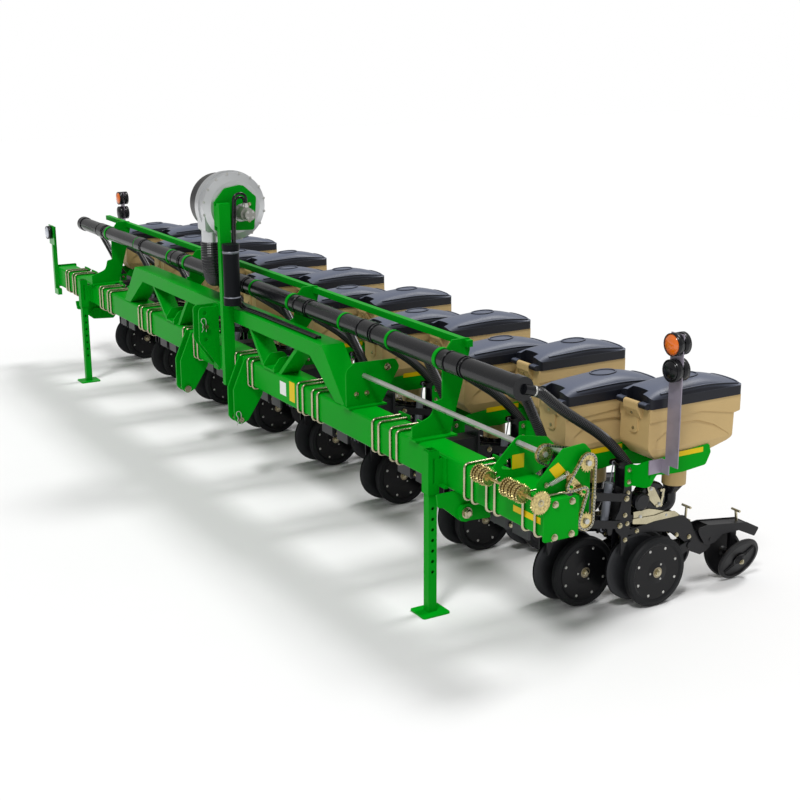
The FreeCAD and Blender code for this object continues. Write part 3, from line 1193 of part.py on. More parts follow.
def chain_legs(wheels):
    """Tangent points of a closed chain round (y, z, radius, turn) wheels, turn 1 or -1."""
    legs = []
    for i, (y0, z0, r0, t0) in enumerate(wheels):
        y1, z1, r1, t1 = wheels[(i + 1) % len(wheels)]
        reach = math.hypot(y1 - y0, z1 - z0)
        along = math.atan2(z1 - z0, y1 - y0)
        lean = math.asin((t0 * r0 - t1 * r1) / reach)
        normal = along + lean - math.pi / 2.0
        leave = (y0 + t0 * r0 * math.cos(normal), z0 + t0 * r0 * math.sin(normal))
        arrive = (y1 + t1 * r1 * math.cos(normal), z1 + t1 * r1 * math.sin(normal))
        legs.append((leave, arrive))
    return legs


def chain_runs(wheels):
    """Lines and arcs of the chain in order: ('line', a, b) or ('arc', centre, radius, from, sweep)."""
    legs = chain_legs(wheels)
    runs = []
    for i, (y, z, r, t) in enumerate(wheels):
        arrive = legs[i - 1][1]
        leave = legs[i][0]
        first = math.atan2(arrive[1] - z, arrive[0] - y)
        last = math.atan2(leave[1] - z, leave[0] - y)
        sweep = (last - first) % (2.0 * math.pi) if t > 0 else -((first - last) % (2.0 * math.pi))
        runs.append(("arc", (y, z), r, first, sweep))
        runs.append(("line", legs[i][0], legs[i][1]))
    return runs


def run_length(run):
    if run[0] == "line":
        return math.hypot(run[2][0] - run[1][0], run[2][1] - run[1][1])
    return abs(run[4]) * run[2]


def chain_length(wheels):
    return sum(run_length(run) for run in chain_runs(wheels))


def chain_spots(wheels, step):
    """(y, z) of every roller, one step of chain apart from the first."""
    spots = []
    runs = chain_runs(wheels)
    total = sum(run_length(run) for run in runs)
    count = int(round(total / step))
    for i in range(count):
        left = i * total / count
        for run in runs:
            length = run_length(run)
            if left <= length:
                break
            left -= length
        spots.append(spot_on(run, left / length))
    return spots


def spot_on(run, share):
    if run[0] == "line":
        (y0, z0), (y1, z1) = run[1], run[2]
        return y0 + share * (y1 - y0), z0 + share * (z1 - z0)
    y, z = run[1]
    angle = run[3] + share * run[4]
    return y + run[2] * math.cos(angle), z + run[2] * math.sin(angle)


def chain_face(wheels, grow, x):
    """Flat face inside the chain's line, moved out by grow."""
    grown = [(y, z, r + t * grow, t) for y, z, r, t in wheels]
    edges = []
    for run in chain_runs(grown):
        a = V(x, *spot_on(run, 0.0))
        b = V(x, *spot_on(run, 1.0))
        if run[0] == "line":
            edges.append(Part.LineSegment(a, b).toShape())
        else:
            edges.append(Part.Arc(a, V(x, *spot_on(run, 0.5)), b).toShape())
    return Part.Face(Part.Wire(edges))


def tensioned(wheels, index, slide):
    """The wheels with one moved along its slide until the chain is a whole number of pitches."""
    def at(shift):
        y, z, r, t = wheels[index]
        return wheels[:index] + [(y + slide[0] * shift, z + slide[1] * shift, r, t)] + wheels[index + 1:]

    target = math.ceil(chain_length(at(0.0)) / CHAIN_PITCH) * CHAIN_PITCH
    low, high = 0.0, 40.0
    for _ in range(50):
        middle = (low + high) / 2.0
        if chain_length(at(middle)) < target:
            low = middle
        else:
            high = middle
    return at(low)


def roller_chain(wheels, x):
    """Two bands of link plates joined by their rollers."""
    pieces = []
    for x0 in (x - CHAIN_INNER / 2.0 - CHAIN_LINK, x + CHAIN_INNER / 2.0):
        outer = chain_face(wheels, CHAIN_LINK_HALF, x0).extrude(V(CHAIN_LINK, 0, 0))
        inner = chain_face(wheels, -CHAIN_LINK_HALF, x0).extrude(V(CHAIN_LINK, 0, 0))
        pieces.append(outer.cut(inner))
    reach = CHAIN_INNER / 2.0 + CHAIN_LINK
    for y, z in chain_spots(wheels, CHAIN_PITCH):
        pieces.append(cross_rod(x - reach, x + reach, y, z, CHAIN_ROLLER / 2.0))
    return pieces[0].multiFuse(pieces[1:])


def sprocket(wheels, index, teeth, x, bore, thick=7.0):
    """Toothed wheel in mesh: a round gap for each roller it carries."""
    y, z, r, t = wheels[index]
    near = [s for s in chain_spots(wheels, CHAIN_PITCH) if abs(math.hypot(s[0] - y, s[1] - z) - r) < 0.01]
    middle = near[len(near) // 2]
    phase = math.atan2(middle[1] - z, middle[0] - y)
    wheel = cross_rod(x - thick / 2.0, x + thick / 2.0, y, z, r + CHAIN_ROLLER * 0.36)
    for i in range(teeth):
        angle = phase + 2.0 * math.pi * i / teeth
        gap = CHAIN_ROLLER / 2.0 + 0.5
        gy = y + (r + 0.6) * math.cos(angle)
        gz = z + (r + 0.6) * math.sin(angle)
        wheel = wheel.cut(cross_rod(x - thick, x + thick, gy, gz, gap + 0.35))
        ty = y + (r + 3.5) * math.cos(angle)
        tz = z + (r + 3.5) * math.sin(angle)
        wheel = wheel.cut(cross_rod(x - thick, x + thick, ty, tz, gap + 1.35))
    hub = cross_rod(x - thick / 2.0 - 9.0, x + thick / 2.0, y, z, max(bore + 6.0, r * 0.42))
    return fused([wheel, hub]).cut(cross_rod(x - 30.0, x + 30.0, y, z, bore + SEAT))


def drive_wheels():
    """Wheels of the inner and the outer chain, their tensioners set."""
    upper = pitch_radius(TEETH_COUNTER)
    shaft = pitch_radius(TEETH_SHAFT)
    driven = pitch_radius(TEETH_DRIVEN)
    idler = pitch_radius(TEETH_IDLER)
    inner = [(SHAFT_Y, SHAFT_Z, shaft, 1), (192.0, 1010.0, idler, 1), (COUNTER_Y, COUNTER_Z, upper, 1)]
    outer = [(COUNTER_Y, COUNTER_Z, upper, 1), (201.0, 925.0, idler, 1), (271.0, 886.0, idler, -1),
             (DRIVEN_Y, DRIVEN_Z, driven, 1)]
    return tensioned(inner, 1, (-0.35, -1.0)), tensioned(outer, 1, (-1.0, 0.0))


def drive_chains():
    """Both roller chains, the sprockets they run on, and the spare sprockets on their rod."""
    inner, outer = drive_wheels()
    x0, x1 = INNER_CHAIN_X, OUTER_CHAIN_X
    pieces = [roller_chain(inner, x0), roller_chain(outer, x1)]
    pieces.append(sprocket(inner, 0, TEETH_SHAFT, x0, HEX_RADIUS))
    pieces.append(sprocket(inner, 1, TEETH_IDLER, x0, IDLER_STUD))
    pieces.append(sprocket(inner, 2, TEETH_COUNTER, x0, HEX_RADIUS))
    pieces.append(sprocket(outer, 0, TEETH_COUNTER, x1, HEX_RADIUS))
    pieces.append(sprocket(outer, 1, TEETH_IDLER, x1, IDLER_STUD))
    pieces.append(sprocket(outer, 2, TEETH_IDLER, x1, IDLER_STUD))
    pieces.append(sprocket(outer, 3, TEETH_DRIVEN, x1, HEX_RADIUS))
    pieces += spare_sprockets()
    return pieces


def spare_sprockets():
    """Two stacks of change sprockets threaded on one rod in front of the toolbar."""
    first, last = SPARE_ROD
    pieces = [cross_rod(first, last, SPARE_Y, SPARE_Z, SPARE_BOLT)]
    for start, count in ((first + 14.0, 6), (SPARE_BRACKET_X + 24.0, 8)):
        for i in range(count):
            x = start + 19.0 * i
            radius = 44.0 - 3.0 * (i % 3)
            disc = cross_rod(x, x + 7.0, SPARE_Y, SPARE_Z, radius)
            hub = cross_rod(x, x + 18.7, SPARE_Y, SPARE_Z, 20.0)
            pieces.append(disc.fuse(hub))
    pieces.append(cross_rod(last - 12.0, last - 5.0, SPARE_Y, SPARE_Z, 54.0))
    return [fused(pieces)]


def shaft_hole(x, y, z):
    """Round bore that the corners of the hexagonal shaft run in."""
    return cross_rod(x - 30.0, x + 30.0, y, z, HEX_RADIUS + AXLE_PLAY)


def drive_plate():
    """Upright plate near the middle of the left half that carries the drive shaft's inner end."""
    blade = [(-16.0, TUBE_TOP + 10.0, 0.0), (-18.0, 1120.0, 60.0), (40.0, 1160.0, 30.0), (318.0, 1156.0, 30.0),
             (346.0, 1104.0, 26.0), (222.0, TUBE_TOP + 10.0, 0.0)]
    x = DRIVE_PLATE_X
    plate = side_plate(blade, x - 5.0, x + 5.0)
    base = box(x - 50.0, x + 40.0, -22.0, TUBE + 60.0, TUBE_TOP, TUBE_TOP + 10.0)
    return fused([plate, base]).cut(shaft_hole(x, SHAFT_Y, SHAFT_Z))


def inner_end_plate():
    x = END_PLATE_INNER_X
    blade = [(14.0, TUBE_TOP + 8.0, 0.0), (-20.0, 945.0, 14.0), (-44.0, 972.0, 14.0), (88.0, 1098.0, 18.0),
             (118.0, 1112.0, 18.0), (284.0, 1080.0, 20.0), (332.0, 1030.0, 26.0), (300.0, 935.0, 24.0),
             (212.0, TUBE_TOP + 8.0, 0.0)]
    window = [(-4.0, 958.0, 10.0), (64.0, 1018.0, 12.0), (74.0, 942.0, 12.0)]
    plate = side_plate(blade, x - 4.0, x + 4.0).cut(side_plate(window, x - 6.0, x + 6.0))
    plate = plate.cut(shaft_hole(x, SHAFT_Y, SHAFT_Z)).cut(shaft_hole(x, COUNTER_Y, COUNTER_Z))
    return plate


def outer_end_plate():
    x = END_PLATE_OUTER_X
    blade = [(13.0, TUBE_TOP + 8.0, 0.0), (13.0, 965.0, 16.0), (161.0, 1112.0, 18.0), (291.0, 1122.0, 24.0),
             (331.0, 1080.0, 24.0), (330.0, 700.0, 26.0), (250.0, 690.0, 22.0), (228.0, TUBE_TOP + 8.0, 14.0)]
    plate = side_plate(blade, x - 4.0, x + 4.0)
    for y, z in ((COUNTER_Y, COUNTER_Z), (DRIVEN_Y, DRIVEN_Z)):
        plate = plate.cut(shaft_hole(x, y, z))
    return plate


def drive_brackets():
    """Uprights of the row drive, with the bracket of the spare sprockets on their base."""
    base = box(END_PLATE_INNER_X - 30.0, END_PLATE_OUTER_X + 12.0, 8.0, TUBE + 34.0, TUBE_TOP, TUBE_TOP + 8.0)
    tongue = [(-60.0, 890.0, 12.0), (-60.0, 930.0, 16.0), (-24.0, 930.0, 12.0), (40.0, TUBE_TOP + 8.0, 0.0),
              (9.0, TUBE_TOP + 8.0, 0.0), (-6.0, 890.5, 0.0)]
    x = SPARE_BRACKET_X
    holder = side_plate(tongue, x, x + 8.0)
    hole = cross_rod(x - 5.0, x + 13.0, SPARE_Y, SPARE_Z, SPARE_BOLT + AXLE_PLAY)
    ends = fused([inner_end_plate(), outer_end_plate(), base, holder]).cut(hole)
    return [drive_plate(), with_studs(ends)]


def with_studs(ends):
    """Idler studs: one inwards and one outwards from the outer plate."""
    inner, outer = drive_wheels()
    studs = [cross_rod(INNER_CHAIN_X - 10.0, END_PLATE_OUTER_X, inner[1][0], inner[1][1], IDLER_STUD)]
    for y, z, radius, turn in outer[1:3]:
        studs.append(cross_rod(END_PLATE_OUTER_X, OUTER_CHAIN_X + 10.0, y, z, IDLER_STUD))
    return fused([ends] + studs)


def drive_gear():
    """Hexagonal shafts of the row drive with the bearings that carry the long one."""
    shaft = hexagon(SHAFT_Y, SHAFT_Z, SHAFT_ACROSS, DRIVE_PLATE_X - 40.0, INNER_CHAIN_X + 12.0)
    counter = hexagon(COUNTER_Y, COUNTER_Z, SHAFT_ACROSS, END_PLATE_INNER_X - 20.0, OUTER_CHAIN_X + 16.0)
    driven = hexagon(DRIVEN_Y, DRIVEN_Z, SHAFT_ACROSS, END_PLATE_OUTER_X - 60.0, OUTER_CHAIN_X + 16.0)
    return [shaft, counter, driven]


# ---------------------------------------------------------------- lamps
def lamp_brackets():
    """Lamp boards at both ends: two behind on the outermost saddles, one post in front."""
    x = RIGHT_END + 32.0
    post = box(x - 19.0, x + 19.0, -38.0, 0.0, 640.0, 1270.0)
    board = box(x - 55.0, x + 95.0, -44.0, -38.0, 1110.0, 1290.0)
    foot = box(x - 19.0, x + 90.0, -38.0, 0.0, 640.0, 696.0)
    return [lamp_plate(1), lamp_plate(-1), fused([post, board, foot])]


def lamp_plate_x():
    return OUTER_PAIR + TWIN_SPACING / 2.0 + HOPPER_SHIFT + LAMP_OFFSET


def lamp_plate(side):
    """Upright lamp board on a lug bolted to the outermost saddle cheek."""
    y = LAMP_Y + (TWIN_STAGGER if side > 0 else 0.0)
    low = 850.0
    x = lamp_plate_x()
    inner = OUTER_PAIR + TWIN_SPACING / 2.0 + HOPPER_SHIFT + hopper_half(SADDLE_TOP) + SADDLE_PLATE + 2 * SEAT
    board = box(x, x + LAMP_PLATE_WIDTH, y, y + 6.0, low, LAMP_TOP)
    lug = box(inner, x + 30.0, y, y + 6.0, 796.0, 873.0)
    flange = box(inner, inner + 6.0, y - 82.0, y + 6.0, 796.0, 873.0)
    whole = fused([board, lug, flange])
    return whole if side > 0 else mirrored_x(whole)


def lamp_body(x, y, z, facing, radius):
    return turned_y([(0.0, 0.0), (0.0, radius - 3.0), (16.0, radius), (34.0, radius - 14.0),
                     (44.0, radius * 0.5), (47.0, 0.0)], x, y, z, facing)


def warning_lamps():
    centre = lamp_plate_x() + LAMP_PLATE_WIDTH / 2.0
    lamps = []
    for side in (-1, 1):
        y = LAMP_Y + (TWIN_STAGGER if side > 0 else 0.0)
        for z in LAMP_HEIGHTS:
            lamps.append(lamp_body(side * centre, y + 6.0 + SEAT, z, 1, LAMP_RADIUS - 24.0))
        lamps.append(lamp_body(side * centre, y - SEAT, LAMP_HEIGHTS[0], -1, LAMP_RADIUS - 24.0))
    lamps.append(lamp_body(RIGHT_END + 40.0, -44.0 - SEAT, 1222.0, -1, 45.0))
    return lamps


# ---------------------------------------------------------------- assembly
def fixed_nodes():
    return {
        "toolbar": toolbar(),
        "frame_truss": truss(),
        "hitch_plates": hitch_plates(),
        "hitch_pins": hitch_pins(),
        "jack_brackets": jack_brackets(),
        "unit_mounts": unit_mounts(),
        "parallel_arms": parallel_arms(),
        "row_unit_frames": row_unit_frames(),
        "opener_discs": opener_discs(),
        "closing_arms": at_units(closing_arm()),
        "closing_wheels": closing_wheels(),
        "down_springs": at_units(down_spring()),
        "seed_meters": seed_meters(),
        "unit_hardware": at_units(*unit_hardware()),
        "hoppers": at_hoppers(hopper()),
        "hopper_saddles": hopper_saddles(),
        "air_manifold": air_manifold(),
        "air_hoses": air_hoses(),
        "manifold_supports": manifold_supports(),
        "fan_housing": fan_housing(),
        "fan_post": fan_post(),
        "drive_brackets": drive_brackets(),
        "drive_gear": drive_gear(),
        "drive_chains": drive_chains(),
        "lamp_brackets": lamp_brackets(),
        "warning_lamps": warning_lamps(),
    }


def moving_nodes():
    nodes = {}
    lid = lid_shell()
    left = gauge_wheel()
    right = mirrored_x(left)
    for number, (x, y, shift) in enumerate(unit_places(), 1):
        nodes["hopper_lid_%02d" % number] = [moved(lid, x + shift, y)]
        nodes["gauge_wheels_%02d" % number] = [moved(left, x, y), moved(right, x, y)]
    for name, (x, side) in zip(("jack_leg_left", "jack_leg_right"), jack_places()):
        nodes[name] = [jack_leg(x)]
    return nodes


def all_nodes():
    nodes = fixed_nodes()
    nodes.update(moving_nodes())
    return nodes


def ground_centre(nodes):
    """Point on the ground below the middle of the whole machine."""
    whole = FreeCAD.BoundBox()
    for solids in nodes.values():
        for solid in solids:
            whole.add(solid.BoundBox)
    return V(whole.Center.x, whole.Center.y, whole.ZMin)


def write_parts():
    os.makedirs("parts", exist_ok=True)
    nodes = all_nodes()
    centre = ground_centre(nodes)
    for name, solids in nodes.items():
        placed = [moved(solid, -centre.x, -centre.y, -centre.z) for solid in solids]
        shape = placed[0] if len(placed) == 1 else Part.makeCompound(placed)
        shape.exportStep("parts/%s.step" % name)
    print("nodes", len(nodes), "origin at", centre)


write_parts()
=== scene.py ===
# %% [markdown]
# # A mounted twin-row precision planter
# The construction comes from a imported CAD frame: toolbar, row units, hoppers,
# air system and drive. This notebook dresses it. It gives every part its real
# finish, adds the small repeated hardware that CAD leaves out (U-bolts, bolt
# heads, rivets, hose ribs, chain links, sprocket teeth), and sets up a plain
# studio.

# %% Load the frame
import bpy
import bmesh
import json
import math
from mathutils import Matrix, Vector


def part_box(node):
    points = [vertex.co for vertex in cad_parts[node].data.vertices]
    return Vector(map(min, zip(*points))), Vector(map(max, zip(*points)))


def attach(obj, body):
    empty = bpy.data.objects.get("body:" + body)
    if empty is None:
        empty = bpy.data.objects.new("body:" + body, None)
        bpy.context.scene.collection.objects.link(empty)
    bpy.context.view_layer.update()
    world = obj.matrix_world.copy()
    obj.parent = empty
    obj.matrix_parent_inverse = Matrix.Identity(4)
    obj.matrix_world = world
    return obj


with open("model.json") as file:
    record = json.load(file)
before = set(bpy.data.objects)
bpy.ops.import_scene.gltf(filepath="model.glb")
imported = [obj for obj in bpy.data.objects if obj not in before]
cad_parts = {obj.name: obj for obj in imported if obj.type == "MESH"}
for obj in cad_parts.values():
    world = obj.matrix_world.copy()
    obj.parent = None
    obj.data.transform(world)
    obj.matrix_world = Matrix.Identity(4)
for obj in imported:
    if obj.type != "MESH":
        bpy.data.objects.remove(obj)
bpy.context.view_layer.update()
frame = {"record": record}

# %% [markdown]
# ## Where things are
# The machine was drawn with X at zero in the middle of its rows and Y at zero
# on the front face of the square toolbar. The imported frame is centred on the
# whole machine, so a single shift turns one into the other. It is found from
# the toolbar: its end plates stand out unequally, so its middle is 47.5 mm to
# the right of zero, and half its square behind it. The row units are read from
# the gauge wheels, whose axle stands behind and above each unit's own zero,
# and the hoppers from their lids.

# %% Machine zero, row units and hoppers
BAR_MIDDLE_X = 0.0475
BAR_MIDDLE_Y = 0.0889
AXLE_FROM_UNIT = Vector((0.0, 0.696, 0.198))
bar_low, bar_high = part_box("toolbar")
SHIFT = Vector((BAR_MIDDLE_X - (bar_low[0] + bar_high[0]) / 2.0,
                BAR_MIDDLE_Y - (bar_low[1] + bar_high[1]) / 2.0, 0.0))
ROWS = range(1, 17)
LEFT = Vector((-1.0, 0.0, 0.0))
RIGHT = Vector((1.0, 0.0, 0.0))
FORWARD = Vector((0.0, -1.0, 0.0))
UP = Vector((0.0, 0.0, 1.0))


def spot(x, y, z):
    """A point given in the machine's own metres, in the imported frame."""
    return Vector((x, y, z)) - SHIFT


def middle(node):
    """The middle of a CAD node's box."""
    low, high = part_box(node)
    return (low + high) / 2.0


units = {row: middle("gauge_wheels_%02d" % row) - AXLE_FROM_UNIT for row in ROWS}
lids = {row: middle("hopper_lid_%02d" % row).x for row in ROWS}
print("row spacing", round(units[3].x - units[1].x, 4), "twin", round(units[2].x - units[1].x, 4))


def at_unit(row, x, y, z):
    """A point given from a row unit's own zero."""
    return units[row] + Vector((x, y, z))


def at_hopper(row, x, y, z):
    """A point given from the middle plane of a row's hopper."""
    return Vector((lids[row] + x, units[row].y + y, z))


# %% [markdown]
# ## Camera
# A wide machine shows best from beyond one end and a little above the frame.
# The lens is a short telephoto, so the near row is clearly larger than the far
# one but nothing bends. The lens is shifted a hair, as on a view camera, which
# moves what is seen without turning the camera.

# %% Camera
CAMERA_SPOT = (8.792, -3.648, 3.062)
CAMERA_AZIMUTH = 59.46
CAMERA_PITCH = 15.21
CAMERA_ROLL = -0.20
LENS = 61.14
LENS_SHIFT = (-0.004, -0.004375)
SENSOR = 36.0
FARTHEST_SEEN = 200.0

eye = bpy.data.cameras.new("studio_camera")
eye.lens = LENS
eye.sensor_width = SENSOR
eye.clip_end = FARTHEST_SEEN
eye.shift_x, eye.shift_y = LENS_SHIFT
camera = bpy.data.objects.new("studio_camera", eye)
bpy.context.scene.collection.objects.link(camera)
turn = Matrix.Rotation(math.radians(CAMERA_AZIMUTH), 4, "Z")
tilt = Matrix.Rotation(math.radians(90.0 - CAMERA_PITCH), 4, "X")
roll = Matrix.Rotation(math.radians(CAMERA_ROLL), 4, "Z")
camera.matrix_world = Matrix.Translation(spot(*CAMERA_SPOT)) @ turn @ tilt @ roll
bpy.context.scene.camera = camera
print("camera at", tuple(round(c, 3) for c in camera.location))

# %% [markdown]
# ## Shared surface effects
# Paint, plastic and zinc all need the same few things: a slow unevenness of
# colour, a fine grain, and dust that lies on what faces up. Each is a node
# group with named inputs, built once and used in every finish with its own
# values. The groups put out masks and heights only; the shader stays in the
# material, where its plain numbers are set directly on its sockets.

# %% Node group helper
def effect(name, inputs, outputs):
    """An empty shader node group with its input and output sockets."""
    group = bpy.data.node_groups.new(name, "ShaderNodeTree")
    for label, kind, value in inputs:
        socket = group.interface.new_socket(label, in_out="INPUT", socket_type=kind)
        if value is not None:
            socket.default_value = value
    for label, kind in outputs:
        group.interface.new_socket(label, in_out="OUTPUT", socket_type=kind)
    return group, group.nodes.new("NodeGroupInput"), group.nodes.new("NodeGroupOutput")


NUMBER = "NodeSocketFloat"
VECTOR = "NodeSocketVector"


def calculate(group, operation, *values):
    """A Math node fed by sockets or plain numbers."""
    node = group.nodes.new("ShaderNodeMath")
    node.operation = operation
    for place, value in enumerate(values):
        if isinstance(value, (int, float)):
            node.inputs[place].default_value = value
        else:
            group.links.new(value, node.inputs[place])
    return node.outputs[0]


def noise_in(group, place, scale, detail):
    """A noise value; the scale is a socket or a plain number."""
    noise = group.nodes.new("ShaderNodeTexNoise")
    noise.inputs["Detail"].default_value = detail
    group.links.new(place, noise.inputs["Vector"])
    if isinstance(scale, float):
        noise.inputs["Scale"].default_value = scale
    else:
        group.links.new(scale, noise.inputs["Scale"])
    return noise.outputs["Fac"]


def upwards_in(group):
    """How far the surface faces up: 1 on top, 0 on a wall, -1 below."""
    shape = group.nodes.new("ShaderNodeNewGeometry")
    facing = group.nodes.new("ShaderNodeSeparateXYZ")
    group.links.new(shape.outputs["Normal"], facing.inputs[0])
    return facing.outputs["Z"]


# %% Uneven colour and fine grain
mottle, enter, leave = effect(
    "uneven_colour", [("Place", VECTOR, None), ("Scale", NUMBER, 3.0)], [("Mask", NUMBER)])
spread = mottle.nodes.new("ShaderNodeMapRange")
spread.inputs["From Min"].default_value = 0.3
spread.inputs["From Max"].default_value = 0.7
patches = noise_in(mottle, enter.outputs["Place"], enter.outputs["Scale"], 4.0)
mottle.links.new(patches, spread.inputs["Value"])
mottle.links.new(spread.outputs["Result"], leave.inputs["Mask"])

grain, enter, leave = effect(
    "fine_grain", [("Place", VECTOR, None), ("Scale", NUMBER, 300.0)], [("Height", NUMBER)])
pebbles = noise_in(grain, enter.outputs["Place"], enter.outputs["Scale"], 2.0)
grain.links.new(pebbles, leave.inputs["Height"])

# %% Dust on what faces up
dust, enter, leave = effect(
    "settled_dust", [("Place", VECTOR, None), ("Amount", NUMBER, 0.2)], [("Mask", NUMBER)])
upward = calculate(dust, "MAXIMUM", upwards_in(dust), 0.0)
patchy = calculate(dust, "MULTIPLY", upward, noise_in(dust, enter.outputs["Place"], 22.0, 5.0))
dust.links.new(calculate(dust, "MULTIPLY", patchy, enter.outputs["Amount"]), leave.inputs["Mask"])

# %% [markdown]
# One CAD node sometimes holds two materials, and a mask tells them apart. Two
# rules are enough for that: inside a box, and within a radius of an axle that
# runs across the machine. A third mask, on what faces up, paints a paler
# highlight on the tops of the lids. It is a painted sheen of the sky, not a
# second material. The box compares each coordinate with its two corners and
# multiplies the six answers, so one zero is enough to leave a place out.

# %% Box zone
box_zone, enter, leave = effect(
    "box_zone", [("Place", VECTOR, None), ("Low", VECTOR, None), ("High", VECTOR, None)], [("Mask", NUMBER)])
sides = []
for label, operation in (("Low", "GREATER_THAN"), ("High", "LESS_THAN")):
    here = box_zone.nodes.new("ShaderNodeSeparateXYZ")
    edge = box_zone.nodes.new("ShaderNodeSeparateXYZ")
    box_zone.links.new(enter.outputs["Place"], here.inputs[0])
    box_zone.links.new(enter.outputs[label], edge.inputs[0])
    for axis in "XYZ":
        sides.append(calculate(box_zone, operation, here.outputs[axis], edge.outputs[axis]))
inside = sides[0]
for side in sides[1:]:
    inside = calculate(box_zone, "MULTIPLY", inside, side)
box_zone.links.new(inside, leave.inputs["Mask"])

# %% Round zone: the distance from an axle along X, so X is multiplied away
ACROSS_AXLE = (0.0, 1.0, 1.0)
round_zone, enter, leave = effect(
    "round_zone", [("Place", VECTOR, None), ("Centre", VECTOR, None), ("Radius", NUMBER, 0.1)],
    [("Mask", NUMBER)])
away = round_zone.nodes.new("ShaderNodeVectorMath")
away.operation = "SUBTRACT"
round_zone.links.new(enter.outputs["Place"], away.inputs[0])
round_zone.links.new(enter.outputs["Centre"], away.inputs[1])
flat = round_zone.nodes.new("ShaderNodeVectorMath")
flat.operation = "MULTIPLY"
flat.inputs[1].default_value = ACROSS_AXLE
round_zone.links.new(away.outputs[0], flat.inputs[0])
reach = round_zone.nodes.new("ShaderNodeVectorMath")
reach.operation = "LENGTH"
round_zone.links.new(flat.outputs[0], reach.inputs[0])
round_zone.links.new(calculate(round_zone, "LESS_THAN", reach.outputs["Value"], enter.outputs["Radius"]),
                     leave.inputs["Mask"])

# %% Zone of what faces up: the mask of the painted sky sheen on the lid tops
painted_top_sheen, enter, leave = effect(
    "painted_top_sheen", [("Place", VECTOR, None), ("From", NUMBER, 0.5), ("To", NUMBER, 1.0)], [("Mask", NUMBER)])
spread = painted_top_sheen.nodes.new("ShaderNodeMapRange")
painted_top_sheen.links.new(upwards_in(painted_top_sheen), spread.inputs["Value"])
painted_top_sheen.links.new(enter.outputs["From"], spread.inputs["From Min"])
painted_top_sheen.links.new(enter.outputs["To"], spread.inputs["From Max"])
painted_top_sheen.links.new(spread.outputs["Result"], leave.inputs["Mask"])
print("effects", [group.name for group in bpy.data.node_groups])

# %% [markdown]
# ## Finishes
# One helper builds every finish. It starts from the real colour, lets it vary
# slowly, lays a little dust on top and a fine grain in the bump. A part made
# of two materials in one CAD node gets zones, where the second colour, gloss
# and metal take over. A zone also carries painted light: the lids get a paler
# painted highlight where they face up.

# %% Finish helper
def linear(red, green, blue):
    """A display colour of 0 to 255 as the linear colour that the shader wants."""
    values = []
    for part in (red, green, blue):
        share = part / 255.0
        values.append(share / 12.92 if share <= 0.04045 else ((share + 0.055) / 1.055) ** 2.4)
    return tuple(values)


DUST = linear(176, 170, 158)


def blended(tree, mask, first, second):
    """Colour mixed from first to second by a mask."""
    node = tree.nodes.new("ShaderNodeMix")
    node.data_type = "RGBA"
    tree.links.new(mask, node.inputs["Factor"])
    for socket, value in ((node.inputs[6], first), (node.inputs[7], second)):
        if isinstance(value, tuple):
            socket.default_value = (*value, 1.0)
        else:
            tree.links.new(value, socket)
    return node.outputs[2]


def levels(tree, mask, low, high):
    """Number mixed from low to high by a mask."""
    node = tree.nodes.new("ShaderNodeMix")
    tree.links.new(mask, node.inputs["Factor"])
    for socket, value in ((node.inputs[2], low), (node.inputs[3], high)):
        if isinstance(value, (int, float)):
            socket.default_value = value
        else:
            tree.links.new(value, socket)
    return node.outputs[0]


def use(tree, group, **values):
    """A node group placed in a material, its inputs linked or set."""
    node = tree.nodes.new("ShaderNodeGroup")
    node.node_tree = group
    for label, value in values.items():
        if isinstance(value, (int, float, tuple, Vector)):
            node.inputs[label].default_value = value
        else:
            tree.links.new(value, node.inputs[label])
    return node.outputs[0]


def finish(name, color, rough, metal=0.0, coat=0.0, uneven=0.08, uneven_scale=3.0, grain_scale=400.0,
           bump=0.0002, dusty=0.25, specular=0.5, zones=()):
    """A material: colour with slow patches, zones of a second colour (on the lids, a painted highlight),
    settled dust and a fine grain.
    """
    material = bpy.data.materials.new(name)
    material.use_nodes = True
    tree = material.node_tree
    shader = tree.nodes["Principled BSDF"]
    place = tree.nodes.new("ShaderNodeTexCoord").outputs["Object"]
    patches = use(tree, mottle, Place=place, Scale=uneven_scale)
    dark = tuple(part * (1.0 - uneven) for part in color)
    light = tuple(min(part * (1.0 + uneven), 1.0) for part in color)
    shade = blended(tree, patches, dark, light)
    gloss = levels(tree, patches, max(rough - 0.04, 0.05), rough + 0.05)
    shine = None
    for group, sizes, other, other_rough, other_metal in zones:
        mask = use(tree, group, Place=place, **sizes)
        shade = blended(tree, mask, shade, other)
        gloss = levels(tree, mask, gloss, other_rough)
        shine = levels(tree, mask, metal if shine is None else shine, other_metal)
    settled = use(tree, dust, Place=place, Amount=dusty)
    tree.links.new(blended(tree, settled, shade, DUST), shader.inputs["Base Color"])
    tree.links.new(levels(tree, settled, gloss, 0.8), shader.inputs["Roughness"])
    if shine is None:
        shader.inputs["Metallic"].default_value = metal
    else:
        tree.links.new(shine, shader.inputs["Metallic"])
    shader.inputs["Coat Weight"].default_value = coat
    shader.inputs["Coat Roughness"].default_value = 0.12
    shader.inputs["Specular IOR Level"].default_value = specular
    relief = tree.nodes.new("ShaderNodeBump")
    relief.inputs["Distance"].default_value = bump
    relief.inputs["Strength"].default_value = 0.6
    tree.links.new(use(tree, grain, Place=place, Scale=grain_scale), relief.inputs["Height"])
    tree.links.new(relief.outputs["Normal"], shader.inputs["Normal"])
    return material
